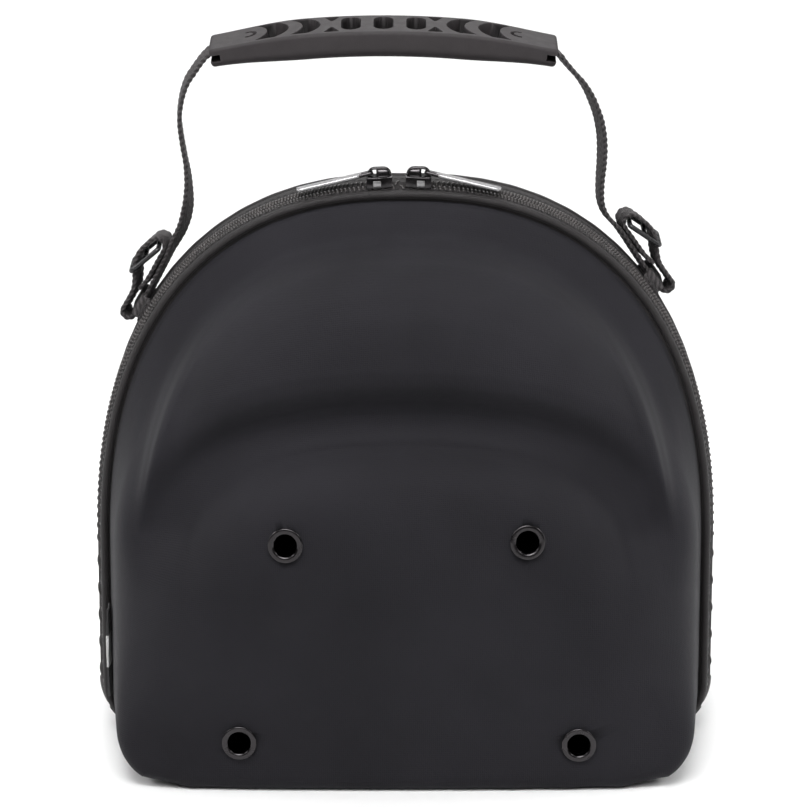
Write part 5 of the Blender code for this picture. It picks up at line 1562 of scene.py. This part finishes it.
# Name, power in watts, width and height, place, target and spread in degrees
LIGHTS = (
    ("key", 1.38, (0.7, 0.35), (-0.06, -0.42, 0.82), (0, 0.05, 0.20), 62.0),
    ("backdrop", 80.0, (3.0, 2.0), (0.0, 2.2, 2.4), (0, 1.6, 0), 180.0),
    ("floor_front", 80.0, (3.0, 2.0), (0.0, -3.6, 2.4), (0, -3.24, 0), 110.0),
    ("floor_left", 80.0, (3.0, 2.0), (-3.6, 0.0, 2.4), (-3.24, 0, 0), 110.0),
    ("floor_right", 80.0, (3.0, 2.0), (3.6, 0.0, 2.4), (3.24, 0, 0), 110.0),
    ("left_strip", 3.0, (0.25, 1.1), (-1.1, 0.15, 0.50), (0, 0, 0.12), 180.0),
    ("right_strip", 3.6, (0.25, 1.1), (1.1, 0.15, 0.50), (0, 0, 0.12), 180.0),
    ("left_glint", 0.45, (0.06, 0.50), (-0.75, -0.60, 0.75), (0, -0.05, 0.10), 180.0),
    ("right_glint", 0.45, (0.06, 0.50), (0.75, -0.60, 0.75), (0, -0.05, 0.10), 180.0),
)
WORLD_LIGHT = 0.12
FLOOR_REACH = 9.0
CAMERA_SPOT = (0.0, -1.730, 0.621)
CAMERA_ELEVATION_DEG = 16.0
CAMERA_LENS_MM = 183.4
CAMERA_SHIFT = (0.0006, 0.0635)


def area_light(name, power, size, spot, target, spread_deg):
    data = bpy.data.lights.new(name, "AREA")
    data.energy = power
    data.shape = "RECTANGLE"
    data.size, data.size_y = size
    data.spread = math.radians(spread_deg)
    light = bpy.data.objects.new(name, data)
    light.location = spot
    light.rotation_euler = (Vector(target) - Vector(spot)).to_track_quat("-Z", "Y").to_euler()
    bpy.context.scene.collection.objects.link(light)


def make_studio():
    bm = bmesh.new()
    bmesh.ops.create_grid(bm, x_segments=8, y_segments=8, size=FLOOR_REACH)
    floor = bpy.data.objects.new("studio_floor", from_bmesh("studio_floor", bm))
    bpy.context.scene.collection.objects.link(floor)
    material, tree, shader = new_material("pale_floor", 0.75, Specular_IOR_Level=0.2)
    spot = node(tree, "ShaderNodeTexCoord").outputs
    tone = noise(tree, spot["Object"], 3.0, 2.0)
    color = blend_colors(tree, tone, (0.90, 0.90, 0.90, 1), (0.94, 0.94, 0.94, 1))
    tree.links.new(color, shader.inputs["Base Color"])
    floor.data.materials.append(material)
    world = bpy.data.worlds.new("studio")
    bpy.context.scene.world = world
    world.use_nodes = True
    sky = world.node_tree.nodes["Background"].inputs
    sky["Color"].default_value = (1.0, 1.0, 1.0, 1.0)
    sky["Strength"].default_value = WORLD_LIGHT
    for light in LIGHTS:
        area_light(*light)
    bpy.context.scene.view_settings.view_transform = "Standard"


def make_camera():
    data = bpy.data.cameras.new("camera")
    data.sensor_width = 36.0
    data.lens = CAMERA_LENS_MM
    data.shift_x, data.shift_y = CAMERA_SHIFT
    data.clip_end = 50.0
    camera = bpy.data.objects.new("camera", data)
    camera.location = CAMERA_SPOT
    camera.rotation_euler = (math.radians(90.0 - CAMERA_ELEVATION_DEG), 0.0, 0.0)
    bpy.context.scene.collection.objects.link(camera)
    bpy.context.scene.camera = camera


make_camera()
front_half = make_half("front_half", 1, FRONT_SHAPE, 300, 130, "front_shell")
make_half("rear_half", -1, REAR_SHAPE, 220, 84, "rear_shell")
make_eyelets(front_half)
make_piping("front_piping_cord", -(FRONT_RIM + PIPING_RADIUS), FRONT_PIPING_INSET, "front_piping")
make_piping("rear_piping_cord", REAR_RIM + PIPING_RADIUS, REAR_PIPING_INSET, "rear_piping")
make_tapes()
make_coil()
make_bottom_hinge()
make_flanges()
make_sliders()
make_grip()
make_straps()
make_label()
make_studio()
